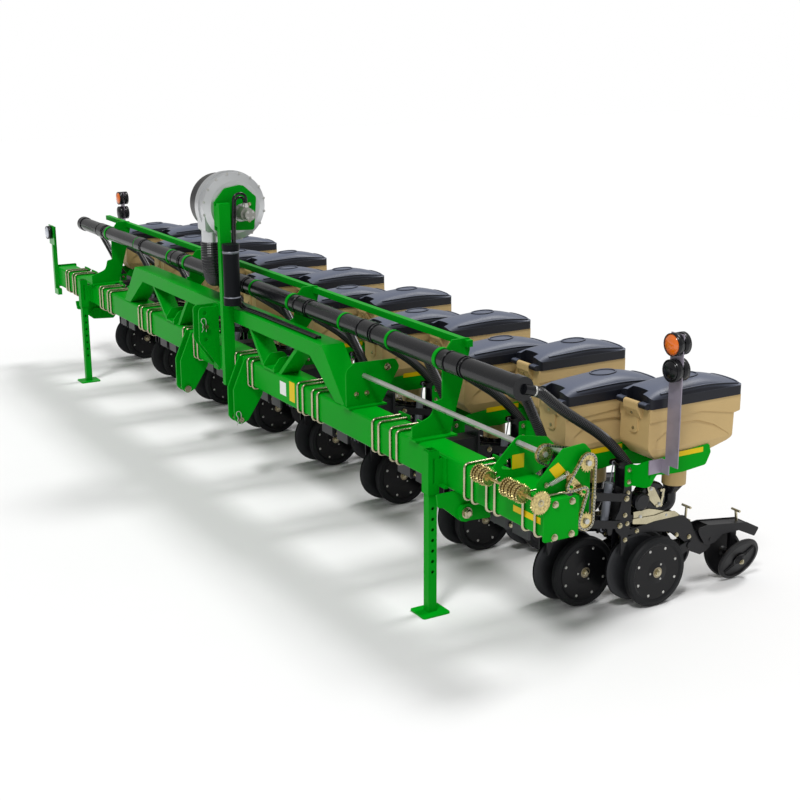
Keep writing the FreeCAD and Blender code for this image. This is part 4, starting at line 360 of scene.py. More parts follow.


# %% [markdown]
# The green is a stove enamel: saturated, with a low sheen and the faint ripple
# of sprayed paint. A low specular level keeps its colour deep under a white
# sky. Hoppers and lids are rotation-moulded, so they are matt with a pebbled
# skin. The lids also get a painted highlight: a paler blue-grey colour where
# they face up, which stands in for the sheen of the sky on their tops. Zinc is
# yellowish and uneven, as passivated plating is. Rubber and hose plastic are
# dark greys, never pure black. The fan is cast aluminium with a dark drum
# behind it and a motor in front, so its finish has two box zones.

# %% Finishes of the machine
GREEN = linear(0, 150, 24)
ZINC = linear(186, 178, 150)
STEEL = linear(196, 196, 192)
BLACK = linear(13, 13, 17)
ALUMINIUM = linear(205, 207, 208)
ENAMEL = {"uneven": 0.06, "grain_scale": 160.0, "bump": 0.0001, "dusty": 0.0, "specular": 0.04}
EDGE = 0.005
SKIN = Vector((EDGE, EDGE, EDGE))
fan_low, fan_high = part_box("fan_housing")
drum_edge = spot(0.0645, 0, 0).x
motor_edge = spot(0.236, 0, 0).x
drum = {"Low": fan_low - SKIN, "High": Vector((drum_edge, fan_high.y + EDGE, fan_high.z + EDGE))}
motor = {"Low": Vector((motor_edge, fan_low.y, fan_low.z)), "High": fan_high + SKIN}
finishes = {
    "green_paint": finish("green_paint", GREEN, 0.32, **ENAMEL),
    "black_paint": finish("black_paint", BLACK, 0.34, uneven=0.15, dusty=0.02, specular=0.3),
    "grey_steel": finish("grey_steel", linear(34, 35, 39), 0.4, metal=0.2, uneven=0.12, dusty=0.05),
    "zinc": finish("zinc", ZINC, 0.26, metal=1.0, uneven=0.16, uneven_scale=14.0, dusty=0.1),
    "bright_steel": finish("bright_steel", STEEL, 0.3, metal=0.65, uneven=0.12, uneven_scale=9.0, dusty=0.1),
    "cast_aluminium": finish(
        "cast_aluminium", ALUMINIUM, 0.36, metal=0.85, uneven=0.06, grain_scale=700.0, dusty=0.1,
        zones=[(box_zone, drum, linear(17, 18, 21), 0.36, 0.0),
               (box_zone, motor, linear(172, 172, 166), 0.35, 0.8)]),
    "tan_plastic": finish(
        "tan_plastic", linear(196, 168, 116), 0.5, uneven=0.05, grain_scale=520.0, bump=0.0005, dusty=0.04,
        specular=0.25),
    # The zone on what faces up is a painted highlight: a paler blue-grey on the lid tops that stands in for
    # the sky's sheen.
    "charcoal_plastic": finish(
        "charcoal_plastic", linear(24, 26, 34), 0.42, uneven=0.08, grain_scale=480.0, bump=0.0005,
        dusty=0.02, specular=0.25,
        zones=[(painted_top_sheen, {"From": 0.4, "To": 0.97}, linear(94, 100, 117), 0.36, 0.0)]),
    "black_plastic": finish(
        "black_plastic", linear(13, 14, 18), 0.22, uneven=0.15, dusty=0.03, specular=0.35),
    "black_rubber": finish(
        "black_rubber", linear(17, 17, 20), 0.42, uneven=0.2, grain_scale=260.0, bump=0.0004, dusty=0.03,
        specular=0.3),
    "lamp_lens": finish("lamp_lens", linear(232, 110, 12), 0.18, coat=0.6, uneven=0.04, dusty=0.05),
}
print("finishes", len(finishes))

# %% [markdown]
# Some CAD nodes hold two materials. The fan post is green but the document tube
# beside it is black, and the plated lamp boards share a node with one green
# front post. A gauge wheel has a rubber tread round a nylon disc with a plated
# hub, so the front and the rear wheels get a copy each, whose zones are centred
# on their own axle. Opener discs, springs and chains are bare or plated steel
# of their own shade.

# %% Finishes with zones
TUBE_LOW_END = 1.24
TUBE_HIGH_END = 1.67
tube_edge = spot(0.344, 0, 0).x
post_low, post_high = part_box("fan_post")
document_tube = {"Low": Vector((tube_edge, post_low.y - EDGE, spot(0, 0, TUBE_LOW_END).z)),
                 "High": Vector((post_high.x + EDGE, post_high.y + EDGE, spot(0, 0, TUBE_HIGH_END).z))}
finishes["fan_post"] = finish("green_post", GREEN, 0.32, **ENAMEL,
                              zones=[(box_zone, document_tube, linear(26, 27, 30), 0.35, 0.0)])
front_post = {"Low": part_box("lamp_brackets")[0] - SKIN, "High": spot(-3.690, 0.1, 1.4)}
finishes["lamp_boards"] = finish(
    "lamp_boards", linear(150, 142, 156), 0.42, metal=0.35, uneven=0.12, uneven_scale=10.0, dusty=0.05,
    zones=[(box_zone, front_post, GREEN, 0.28, 0.0)])

# %% Steels of their own shade
finishes["disc_steel"] = finish(
    "disc_steel", linear(44, 45, 48), 0.4, metal=0.5, uneven=0.2, uneven_scale=8.0, dusty=0.05)
finishes["spring_steel"] = finish(
    "spring_steel", linear(122, 125, 134), 0.42, metal=0.4, uneven=0.1, dusty=0.05)
finishes["yellow_zinc"] = finish(
    "yellow_zinc", linear(196, 178, 122), 0.28, metal=0.9, uneven=0.4, uneven_scale=90.0, dusty=0.0)

# %% Wheels
DISC_RADIUS = 0.158
HUB_RADIUS = 0.030


def wheel_finish(name, axle):
    """Rubber tread, dark disc inside the rim, plated hub."""
    return finish(
        name, linear(24, 25, 27), 0.58, uneven=0.2, grain_scale=240.0, bump=0.0004, dusty=0.0, specular=0.2,
        zones=[
            (round_zone, {"Centre": axle, "Radius": DISC_RADIUS}, linear(18, 18, 20), 0.3, 0.0),
            (round_zone, {"Centre": axle, "Radius": HUB_RADIUS}, linear(150, 140, 118), 0.36, 0.9)])


wheel_finishes = [wheel_finish("tread_front", middle("gauge_wheels_01")),
                  wheel_finish("tread_rear", middle("gauge_wheels_02"))]
print("finishes", len(finishes), "and", len(wheel_finishes), "for wheels")

# %% Paint every CAD node
OWN_FINISH = {"fan_post": "fan_post", "drive_chains": "yellow_zinc", "opener_discs": "disc_steel",
              "down_springs": "spring_steel", "lamp_brackets": "lamp_boards",
              "warning_lamps": "black_plastic"}


def paint(node, material):
    """Gives a CAD node one material in place of its own."""
    piece = bpy.data.objects[node]
    piece.data.materials.clear()
    piece.data.materials.append(material)


for entry in frame["record"]["subparts"]:
    paint(entry["node"], finishes[OWN_FINISH.get(entry["node"], entry["material_slot"])])
for row in ROWS:
    paint("gauge_wheels_%02d" % row, wheel_finishes[(row + 1) % 2])

# %% [markdown]
# ## Small repeated things with Geometry Nodes
# A planter carries hundreds of equal bolts, rivets, U-bolts and hose ribs.
# Each kind is drawn once, as a small node tree with named sizes, and fed with
# bare points or lines that say where it goes. A point carries the direction
# its head faces. The result is made a plain mesh, one for each moving body,
# so that the export can read it.

# %% Tree building helpers
SHAPE = "NodeSocketGeometry"


def tree_for(name, inputs):
    """An empty geometry tree with its sizes as named inputs."""
    tree = bpy.data.node_groups.new(name, "GeometryNodeTree")
    tree.interface.new_socket("Geometry", in_out="INPUT", socket_type=SHAPE)
    for label, value in inputs.items():
        kind = "NodeSocketInt" if isinstance(value, int) else NUMBER
        tree.interface.new_socket(label, in_out="INPUT", socket_type=kind).default_value = value
    tree.interface.new_socket("Material", in_out="INPUT", socket_type="NodeSocketMaterial")
    tree.interface.new_socket("Geometry", in_out="OUTPUT", socket_type=SHAPE)
    return tree, tree.nodes.new("NodeGroupInput").outputs


def add(tree, kind, settings=None, **inputs):
    """A node with its settings, its inputs linked or set by name."""
    made = tree.nodes.new(kind)
    for field, value in (settings or {}).items():
        setattr(made, field, value)
    for label, value in inputs.items():
        same_name = [one for one in made.inputs if one.name == label.replace("_", " ")]
        socket = next((one for one in same_name if one.enabled), same_name[0])
        if isinstance(value, bpy.types.NodeSocket):
            tree.links.new(value, socket)
        else:
            socket.default_value = value
    return next(one for one in made.outputs if one.enabled) if made.outputs else made


def joined(tree, *shapes):
    """Several shapes as one."""
    made = tree.nodes.new("GeometryNodeJoinGeometry")
    for shape in reversed(shapes):
        tree.links.new(shape, made.inputs[0])
    return made.outputs[0]


def named(tree, label, kind="FLOAT"):
    """A value that each guide point carries under a name."""
    return add(tree, "GeometryNodeInputNamedAttribute", {"data_type": kind}, Name=label)


def lifted(tree, shape, height):
    """A shape moved up its own Z."""
    shift = add(tree, "ShaderNodeCombineXYZ", Z=height)
    return add(tree, "GeometryNodeTransform", Geometry=shape, Translation=shift)


def math_of(tree, operation, first, second):
    """One sum inside a geometry tree."""
    made = tree.nodes.new("ShaderNodeMath")
    made.operation = operation
    for socket, value in ((made.inputs[0], first), (made.inputs[1], second)):
        if isinstance(value, bpy.types.NodeSocket):
            tree.links.new(value, socket)
        else:
            socket.default_value = value
    return made.outputs[0]


def round_section(tree, sides, radius):
    """The circle that is swept along a line to give it a round section."""
    return add(tree, "GeometryNodeCurvePrimitiveCircle", Resolution=sides, Radius=radius)


def swept(tree, line, section, **more):
    """A closed bar or tube along a line."""
    return add(tree, "GeometryNodeCurveToMesh", Curve=line, Profile_Curve=section, Fill_Caps=True, **more)


def shaded(tree, shape, smooth):
    """A shape with smooth or flat shading."""
    return add(tree, "GeometryNodeSetShadeSmooth", Geometry=shape, Shade_Smooth=smooth)


def end_tree(tree, shape, sizes):
    """The last two steps of every tree: real geometry, and its material."""
    real = add(tree, "GeometryNodeRealizeInstances", Geometry=shape)
    dressed = add(tree, "GeometryNodeSetMaterial", Geometry=real, Material=sizes["Material"])
    tree.links.new(dressed, tree.nodes.new("NodeGroupOutput").inputs[0])


def at_points(tree, sizes, shape):
    """One copy of a shape on every point, its own Z turned to the point's aim."""
    aim = named(tree, "aim", "FLOAT_VECTOR")
    turned = add(tree, "FunctionNodeAlignRotationToVector", {"axis": "Z"}, Vector=aim)
    return add(tree, "GeometryNodeInstanceOnPoints", Points=sizes["Geometry"], Instance=shape,
               Rotation=turned, Scale=named(tree, "size"))


# %% Hexagon bolt: washer, chamfered head and stud end
hex_bolt, sizes = tree_for("hex_bolt", {"Head Radius": 0.0108, "Head Height": 0.008, "Washer Radius": 0.0132,
                                        "Washer Height": 0.002, "Stud Radius": 0.006, "Stud Length": 0.004})


def bolt_cylinder(vertices, radius, height):
    """One round or six sided step of the bolt, standing on its own middle."""
    return add(hex_bolt, "GeometryNodeMeshCylinder", Vertices=vertices, Radius=radius, Depth=height)


def bolt_sum(operation, first, second):
    """One sum inside the bolt's tree."""
    return math_of(hex_bolt, operation, first, second)


washer = bolt_cylinder(16, sizes["Washer Radius"], sizes["Washer Height"])
washer = lifted(hex_bolt, washer, bolt_sum("MULTIPLY", sizes["Washer Height"], 0.5))
head = bolt_cylinder(6, sizes["Head Radius"], sizes["Head Height"])
head = lifted(hex_bolt, head, bolt_sum("MULTIPLY", sizes["Head Height"], 0.5))
chamfer = add(hex_bolt, "GeometryNodeMeshCone", Vertices=12, Depth=0.0015,
              Radius_Top=bolt_sum("MULTIPLY", sizes["Head Radius"], 0.55),
              Radius_Bottom=bolt_sum("MULTIPLY", sizes["Head Radius"], 0.9))
chamfer = lifted(hex_bolt, chamfer, sizes["Head Height"])
stud = bolt_cylinder(10, sizes["Stud Radius"], sizes["Stud Length"])
stud = lifted(hex_bolt, stud, bolt_sum("ADD", sizes["Head Height"], 0.001))
end_tree(hex_bolt, at_points(hex_bolt, sizes, joined(hex_bolt, washer, head, chamfer, stud)), sizes)

# %% Rivet or lens: a shallow dome on a thin rim
dome, sizes = tree_for("dome", {"Radius": 0.006, "Height": 0.003, "Rim": 0.0006, "Segments": 12, "Rings": 6})
ball = add(dome, "GeometryNodeMeshUVSphere", Segments=sizes["Segments"], Rings=sizes["Rings"], Radius=1.0)
squashed = add(dome, "ShaderNodeCombineXYZ", X=sizes["Radius"], Y=sizes["Radius"], Z=sizes["Height"])
ball = shaded(dome, add(dome, "GeometryNodeTransform", Geometry=ball, Scale=squashed), True)
rim = add(dome, "GeometryNodeMeshCylinder", Vertices=sizes["Segments"], Depth=sizes["Rim"],
          Radius=math_of(dome, "MULTIPLY", sizes["Radius"], 1.12))
end_tree(dome, at_points(dome, sizes, joined(dome, ball, rim)), sizes)

# %% Bent rod: a round bar along a line whose corners are rounded
rod_tree, sizes = tree_for("bent_rod", {"Rod Radius": 0.008, "Bend Radius": 0.022, "Bend Steps": 5,
                                        "Sides": 10})
line = add(rod_tree, "GeometryNodeMeshToCurve", Mesh=sizes["Geometry"])
bent = add(rod_tree, "GeometryNodeFilletCurve", {"mode": "POLY"}, Curve=line, Radius=sizes["Bend Radius"],
           Count=sizes["Bend Steps"], Limit_Radius=True)
bar = swept(rod_tree, bent, round_section(rod_tree, sizes["Sides"], sizes["Rod Radius"]))
end_tree(rod_tree, shaded(rod_tree, bar, True), sizes)

# %% [markdown]
# The air hoses are corrugated plastic. Modelling each rib as a ring would take
# thousands of pieces, so one tube is swept along the hose and its radius
# swells at every second step. The step is half of the rib pitch,
# which gives crisp ribs at a few thousand faces a hose. Corner radii come from
# the guide line's own "bend" values, as the CAD hoses are bent by the same rule.
# The clamp at each end of a hose is a flat strip swept round a circle.

# %% Ribbed hose
ribbed, sizes = tree_for("ribbed_hose", {"Root Radius": 0.0240, "Rib Height": 0.0050, "Rib Pitch": 0.0115,
                                         "Sides": 16})
line = add(ribbed, "GeometryNodeMeshToCurve", Mesh=sizes["Geometry"])
bent = add(ribbed, "GeometryNodeFilletCurve", {"mode": "POLY"}, Curve=line, Count=8,
           Radius=named(ribbed, "bend"))
step = math_of(ribbed, "DIVIDE", sizes["Rib Pitch"], 2.0)
even = add(ribbed, "GeometryNodeResampleCurve", {"mode": "LENGTH"}, Curve=bent, Length=step)
phase = math_of(ribbed, "MODULO", add(ribbed, "GeometryNodeInputIndex"), 2.0)
crest = math_of(ribbed, "MULTIPLY", math_of(ribbed, "GREATER_THAN", phase, 0.5), sizes["Rib Height"])
tube = swept(ribbed, even, round_section(ribbed, sizes["Sides"], 1.0),
             Scale=math_of(ribbed, "ADD", sizes["Root Radius"], crest))
end_tree(ribbed, shaded(ribbed, tube, False), sizes)

# %% Flat band clamp
band, sizes = tree_for("band_clamp", {"Band Radius": 0.0275, "Width": 0.012, "Thickness": 0.0015,
                                      "Sides": 24})
loop = round_section(band, sizes["Sides"], sizes["Band Radius"])
section = add(band, "GeometryNodeCurvePrimitiveQuadrilateral", Width=sizes["Thickness"],
              Height=sizes["Width"])
strip = add(band, "GeometryNodeCurveToMesh", Curve=loop, Profile_Curve=section)
end_tree(band, at_points(band, sizes, strip), sizes)
print("trees", [tree.name for tree in bpy.data.node_groups if tree.bl_idname == "GeometryNodeTree"])

# %% [markdown]
# A tree is a modifier on an object that holds only its guide points or lines.
# Every point carries named values: the aim of a bolt, its size, or the bend of
# a hose. A value that is the same for all points is given once. The evaluated
# shape becomes a plain mesh, the guide is thrown away, and the new piece rides
# on the body that it is fixed to.

# %% From a tree to a finished piece
def grow(name, tree, points, material, body="root", edges=(), sizes=None, **values):
    """Feeds a tree with points or lines and makes its result a plain mesh on a body."""
    mesh = bpy.data.meshes.new(name + "_guide")
    mesh.from_pydata([tuple(point) for point in points], list(edges), [])
    for label, numbers in values.items():
        if not isinstance(numbers, list):
            numbers = [numbers] * len(points)
        if isinstance(numbers[0], float):
            mesh.attributes.new(label, "FLOAT", "POINT").data.foreach_set("value", numbers)
        else:
            flat_list = [part for vector in numbers for part in vector]
            mesh.attributes.new(label, "FLOAT_VECTOR", "POINT").data.foreach_set("vector", flat_list)
    guide = bpy.data.objects.new(name + "_guide", mesh)
    bpy.context.scene.collection.objects.link(guide)
    modifier = guide.modifiers.new("shape", "NODES")
    modifier.node_group = tree
    wanted = {"Material": material, **(sizes or {})}
    for item in tree.interface.items_tree:
        if item.in_out == "INPUT" and item.name in wanted:
            modifier[item.identifier] = wanted[item.name]
    graph = bpy.context.evaluated_depsgraph_get()
    plain = bpy.data.meshes.new_from_object(guide.evaluated_get(graph), depsgraph=graph)
    plain.name = name
    bpy.data.objects.remove(guide)
    piece = bpy.data.objects.new(name, plain)
    bpy.context.scene.collection.objects.link(piece)
    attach(piece, body)
    triangles = sum(len(face.vertices) - 2 for face in plain.polygons)
    print(name, "on", body, "from", len(points), "points:", triangles, "triangles")
    return piece


def land(node, place, aim, reach=0.02):
    """The point of a CAD surface that a line against the aim meets near a place."""
    start = place + aim * reach
    met = bpy.data.objects[node].ray_cast(start, -aim, distance=2.0 * reach)
    return met[1] if met[0] else None


# %% [markdown]
# ## Bolts of the row units
# Each row unit is two shank plates and two beam plates bolted together, with a
# saddle flange above and pivots behind. The heads are zinc plated hexagons.
# Their places are listed once from the unit's own zero, as the node, half
# width, Y, Z and size of each, and then repeated on both sides of all sixteen
# units. Two smaller screws hold the front of each hopper. A ray finds the real
# surface, so a head always sits on the plate under it.

# %% Bolt places on a unit's side
SIDE_BOLTS = [
    ("row_unit_frames", 0.040, 0.511, 0.672, 1.0), ("row_unit_frames", 0.040, 0.493, 0.650, 0.9),
    ("row_unit_frames", 0.040, 0.498, 0.549, 1.0), ("row_unit_frames", 0.040, 0.515, 0.498, 1.0),
    ("row_unit_frames", 0.040, 0.505, 0.407, 1.0), ("row_unit_frames", 0.040, 0.591, 0.439, 1.0),
    ("row_unit_frames", 0.032, 0.876, 0.360, 1.0), ("row_unit_frames", 0.032, 0.969, 0.331, 1.0),
    ("closing_arms", 0.050, 1.116, 0.291, 1.4), ("hopper_saddles", 0.0463, 0.510, 0.802, 1.0),
    ("hopper_saddles", 0.0463, 0.510, 0.736, 1.0), ("parallel_arms", 0.0626, 0.222, 0.556, 1.2),
    ("parallel_arms", 0.0626, 0.262, 0.701, 1.2), ("parallel_arms", 0.0483, 0.457, 0.500, 1.2),
    ("parallel_arms", 0.0483, 0.497, 0.645, 1.2)]
HOPPER_FRONT = 0.534
HOPPER_SCREW_HEIGHTS = (1.030, 1.116)
HOPPER_SCREW_SIZE = 0.7
SUNK = 0.0004

# %% Bolts on every unit
places, aims, scales, missed = [], [], [], set()
for row in ROWS:
    for node, half, y, z, scale in SIDE_BOLTS:
        for side in (-1.0, 1.0):
            aim = Vector((side, 0.0, 0.0))
            seat = land(node, at_unit(row, side * half, y, z), aim)
            if seat is None:
                missed.add((node, y, z))
                continue
            places.append(seat - aim * SUNK)
            aims.append(aim)
            scales.append(scale)
    for z in HOPPER_SCREW_HEIGHTS:
        seat = land("hoppers", at_hopper(row, 0.0, HOPPER_FRONT, z), FORWARD, reach=0.04)
        if seat is not None:
            places.append(seat)
            aims.append(FORWARD)
            scales.append(HOPPER_SCREW_SIZE)
grow("unit_bolts", hex_bolt, places, finishes["zinc"], aim=aims, size=scales)
print("bolts", len(places), "missed", sorted(missed))

# %% [markdown]
# ## U-bolts
# Every unit mount hangs on the square toolbar by two U-bolts. They are bent
# round bar that runs over the top, down the front and back below, with nuts
# on a clamp strip behind. A U-bolt is only a line with four corners, so the
# rod tree rounds the corners and gives it thickness. Two more sit at the end
# of the bar that carries the drive.

# %% U-bolts round the toolbar
ROD = 0.008
STRAP_HALF_GAP = 0.036
END_STRAPS = (3.757, 3.856)
TUBE_LOW = 0.7122
TUBE_TOP = 0.890
strap_front = spot(0.0, -ROD, 0.0).y
strap_back = spot(0.0, 0.206, 0.0).y
straps = [units[row].x + shift for row in ROWS for shift in (-STRAP_HALF_GAP, STRAP_HALF_GAP)]
straps += [spot(x, 0.0, 0.0).x for x in END_STRAPS]
loop_corners = [(strap_back, TUBE_TOP + ROD), (strap_front, TUBE_TOP + ROD),
                (strap_front, TUBE_LOW - ROD), (strap_back, TUBE_LOW - ROD)]
points, edges = [], []
for x in straps:
    first = len(points)
    points += [Vector((x, y, z)) for y, z in loop_corners]
    edges += [(first + step, first + step + 1) for step in range(len(loop_corners) - 1)]
grow("u_bolts", rod_tree, points, finishes["zinc"], edges=edges)

# %% Clamp strips and nuts behind the toolbar
def slab(name, low, high, bevel, material, body="root"):
    """A plate with softened edges, from its two corners."""
    mesh = bpy.data.meshes.new(name)
    shape = bmesh.new()
    for lowest, highest in zip(low, high):
        block = bmesh.ops.create_cube(shape, size=1.0)["verts"]
        middle_point = (Vector(lowest) + Vector(highest)) / 2.0
        extent = Vector(highest) - Vector(lowest)
        for vertex in block:
            vertex.co = Vector(c * e for c, e in zip(vertex.co, extent)) + middle_point
    bmesh.ops.bevel(shape, geom=shape.edges[:], offset=bevel, segments=2, profile=0.5, affect="EDGES")
    shape.to_mesh(mesh)
    shape.free()
    piece = bpy.data.objects.new(name, mesh)
    mesh.materials.append(material)
    bpy.context.scene.collection.objects.link(piece)
    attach(piece, body)
    print(name, len(mesh.polygons), "faces")
    return piece


STRIP_HALF_LENGTH = 0.06
STRIP_THICKNESS = 0.012
STRIP_LOW = 0.8885
STRIP_TOP = 0.916
BACKWARD = Vector((0.0, 1.0, 0.0))
NUT_SUNK = 0.0002
strip_face = spot(0.0, 0.1782, 0.0).y
strip_back = strip_face + STRIP_THICKNESS
lows, highs, places = [], [], []
for row in ROWS:
    lows.append(Vector((units[row].x - STRIP_HALF_LENGTH, strip_face, STRIP_LOW)))
    highs.append(Vector((units[row].x + STRIP_HALF_LENGTH, strip_back, STRIP_TOP)))
    for shift in (-STRAP_HALF_GAP, STRAP_HALF_GAP):
        places.append(Vector((units[row].x + shift, strip_back - NUT_SUNK, TUBE_TOP + ROD)))
slab("clamp_strips", lows, highs, 0.003, finishes["green_paint"])
grow("clamp_nuts", hex_bolt, places, finishes["zinc"], aim=BACKWARD, size=1.0,
     sizes={"Stud Length": 0.009, "Stud Radius": 0.0076})

# %% [markdown]
# ## Gauge wheels
# A gauge wheel is a nylon disc in a rubber tyre, held by eight rivets near
# the rim and three screws at the hub, round a plated axle bolt. These turn
# with the wheel, so each row gets its own piece that rides on that row's body.

# %% Rivets and axle bolts
RIM_RIVETS = (0.138, 1.0, 8)
HUB_SCREWS = (0.048, 0.8, 3)
RIVET_PLANE = 0.085
HUB_PLANE = 0.09
BESIDE_BORE = 0.013
AXLE_BOLT_SIZE = 1.5
for row in ROWS:
    body = "gauge_wheels_%02d" % row
    axle = middle(body)
    places, aims, scales = [], [], []
    hubs, hub_aims = [], []
    for side in (-1.0, 1.0):
        aim = Vector((side, 0.0, 0.0))
        for radius, scale, count in (RIM_RIVETS, HUB_SCREWS):
            for number in range(count):
                angle = math.tau * (number + 0.5) / count
                round_axle = Vector((side * RIVET_PLANE, radius * math.cos(angle), radius * math.sin(angle)))
                seat = land(body, axle + round_axle, aim, reach=0.03)
                if seat is not None:
                    places.append(seat)
                    aims.append(aim)
                    scales.append(scale)
        seat = land(body, axle + Vector((side * HUB_PLANE, BESIDE_BORE, 0.0)), aim, reach=0.06)
        if seat is not None:
            hubs.append(Vector((seat.x, axle.y, axle.z)))
            hub_aims.append(aim)
    grow("wheel_rivets_%02d" % row, dome, places, finishes["bright_steel"], body, aim=aims, size=scales,
         sizes={"Radius": 0.0075, "Height": 0.0035, "Segments": 10, "Rings": 5})
    if hubs:
        grow("wheel_bolts_%02d" % row, hex_bolt, hubs, finishes["zinc"], body, aim=hub_aims,
             size=AXLE_BOLT_SIZE)

# %% [markdown]
# ## Air hoses
# Sixteen corrugated hoses carry vacuum from the manifold pipe to the seed
# meters, and one large duct joins the fan to the pipe. Each guide line below
# has the corners of the CAD hose, with a corner radius that uses 45 percent
# of the shorter run beside it.

# %% Hose guide lines
BEND_SHARE = 0.45


def bends(line):
    """Corner radius at every point of a line, zero at its two ends."""
    radii = [0.0]
    for before, at, after in zip(line, line[1:], line[2:]):
        first, second = before - at, after - at
        run = min(first.length, second.length)
        radii.append(BEND_SHARE * run * math.tan(first.angle(second) / 2.0))
    return radii + [0.0]


PIPE_END = (0.2452, 1.3064)
FRONT_HOSE = [PIPE_END, (0.272, 1.2987), (0.335, 1.225), (0.440, 1.010), (0.500, 0.860), (0.592, 0.738)]
REAR_HOSE = [PIPE_END, (0.284, 1.2953), (0.425, 1.180), (0.680, 1.010), (0.800, 0.900), (0.926, 0.738)]
CLAMP_FROM_END = 0.012
points, edges, radii, ends, end_aims = [], [], [], [], []
for row in ROWS:
    corners = FRONT_HOSE if row % 2 else REAR_HOSE
    line = [Vector((units[row].x, spot(0, y, 0).y, z)) for y, z in corners]
    first = len(points)
    points += line
    edges += [(first + step, first + step + 1) for step in range(len(line) - 1)]
    radii += bends(line)
    out_of_pipe, out_of_meter = (line[1] - line[0]).normalized(), (line[-2] - line[-1]).normalized()
    ends += [line[0], line[-1] + out_of_meter * CLAMP_FROM_END]
    end_aims += [out_of_pipe, out_of_meter]
hose_finish = finish("hose_plastic", linear(20, 21, 25), 0.3, uneven=0.1, grain_scale=300.0, dusty=0.05)
grow("hose_ribs", ribbed, points, hose_finish, edges=edges, bend=radii)
grow("hose_clamps", band, ends, finishes["bright_steel"], aim=end_aims, size=1.0)

# %% Ribs of the fan duct
DUCT_CORNERS = [(0.150, -0.075, 1.648), (0.150, -0.075, 1.500), (0.060, -0.020, 1.400),
                (-0.1366, 0.0628, 1.3535)]
line = [spot(*corner) for corner in DUCT_CORNERS]
grow("duct_ribs", ribbed, line, hose_finish, edges=[(0, 1), (1, 2), (2, 3)], bend=bends(line),
     sizes={"Root Radius": 0.0662, "Rib Height": 0.0055, "Rib Pitch": 0.016, "Sides": 32})

# %% [markdown]
# ## Lid relief
# The lids are moulded with a raised bead along the sides and back, which
# stiffens the panel, and an oval field in the middle of the dome. Both are
# lines dropped on to the curved lid by a ray from above, then thickened by the
# rod tree, so they follow the dome. They ride on their own lid.

# %% Beads and ovals
BEAD_HALF = 0.113
BEAD_FRONT = 0.612
BEAD_BACK = 1.158
OVAL_MIDDLE = 0.872
OVAL_WIDE = 0.050
OVAL_LONG = 0.078
BEAD_STEPS = 60
OVAL_STEPS = 28
UNDER_LID_TOP = 1.24
BEAD_RAISED = 0.0014


def bead_line():
    """Left side to the back, across, and forward again on the right, in hopper metres."""
    steps = [BEAD_FRONT + (BEAD_BACK - BEAD_FRONT) * number / BEAD_STEPS for number in range(BEAD_STEPS + 1)]
    across = [(BEAD_HALF * share / 6.0, BEAD_BACK) for share in range(-5, 6)]
    return [(-BEAD_HALF, y) for y in steps] + across + [(BEAD_HALF, y) for y in reversed(steps)]


def oval_line():
    """The oval of the dome's field, in hopper metres."""
    turns = [math.tau * number / OVAL_STEPS for number in range(OVAL_STEPS)]
    return [(OVAL_WIDE * math.cos(turn), OVAL_MIDDLE + OVAL_LONG * math.sin(turn)) for turn in turns]


for row in ROWS:
    body = "hopper_lid_%02d" % row
    points, edges = [], []
    for line, closed in ((bead_line(), False), (oval_line(), True)):
        first = len(points)
        for x, y in line:
            seat = land(body, at_hopper(row, x, y, UNDER_LID_TOP), UP, reach=0.1)
            if seat is not None:
                points.append(seat + UP * BEAD_RAISED)
        edges += [(number, number + 1) for number in range(first, len(points) - 1)]
        if closed:
            edges.append((len(points) - 1, first))
    grow("lid_relief_%02d" % row, rod_tree, points, finishes["charcoal_plastic"], body, edges=edges,
         sizes={"Rod Radius": 0.0055, "Bend Radius": 0.005, "Bend Steps": 1, "Sides": 8})

# %% [markdown]
# ## Bolts and bands of the main frame
# The end plates of the toolbar are held by four large bolts, and others hold
# the jack sleeves, the hitch plates and the drive brackets. The fan housing is
# two spun halves screwed together round the rim. Bands hold the document tube
# to its post, and painted straps hold the manifold pipe between supports. Each
# bolt is one line: the node it sits on, a place near its seat, the way its
# head faces and its size. The ray then finds the seat itself.

# %% Bolts of the end plates, hitch, jacks and drive
END_BOLTS = ((0.050, 0.882), (0.150, 0.882), (0.150, 0.716), (0.050, 0.716))
HITCH_BOLT_HEIGHTS = (0.80, 0.93, 1.06)
HITCH_PLATE_X = 0.3785
DRIVE_X = 1.985
wanted = []
for y, z in END_BOLTS:
    wanted.append(("toolbar", spot(3.935, y, z), RIGHT, 1.35))
    wanted.append(("toolbar", spot(-3.840, y, z), LEFT, 1.2))
for x, aim in ((HITCH_PLATE_X, RIGHT), (-HITCH_PLATE_X, LEFT)):
    wanted += [("hitch_plates", spot(x, 0.03, z), aim, 1.3) for z in HITCH_BOLT_HEIGHTS]
for x, aim in ((3.124, RIGHT), (-2.966, LEFT)):
    wanted.append(("jack_brackets", spot(x, 0.072, 0.589), aim, 2.4))
for y, z, scale in ((0.05, 0.97, 1.2), (0.12, 0.97, 1.2), (0.103, 1.078, 2.6), (0.262, 1.112, 1.7)):
    wanted.append(("drive_brackets", spot(DRIVE_X, y, z), RIGHT, scale))
print("frame bolts wanted", len(wanted))

# %% Screws round the fan rim and bolts of its post
RIM_X = 0.165
RIM_SCREWS = 16
RIM_MIDDLE = (0.080, 1.885)
RIM_RADIUS = 0.226
MOTOR_MIDDLE = (0.122, 1.843)
POST_X = 0.245
POST_BOLTS = 4
POST_BOLT_RADIUS = 0.078


def ring(x, centre, radius, count):
    """Places on a circle that faces along X, half a step round from its first point."""
    y, z = centre
    turns = [math.tau * (number + 0.5) / count for number in range(count)]
    return [spot(x, y + radius * math.cos(turn), z + radius * math.sin(turn)) for turn in turns]


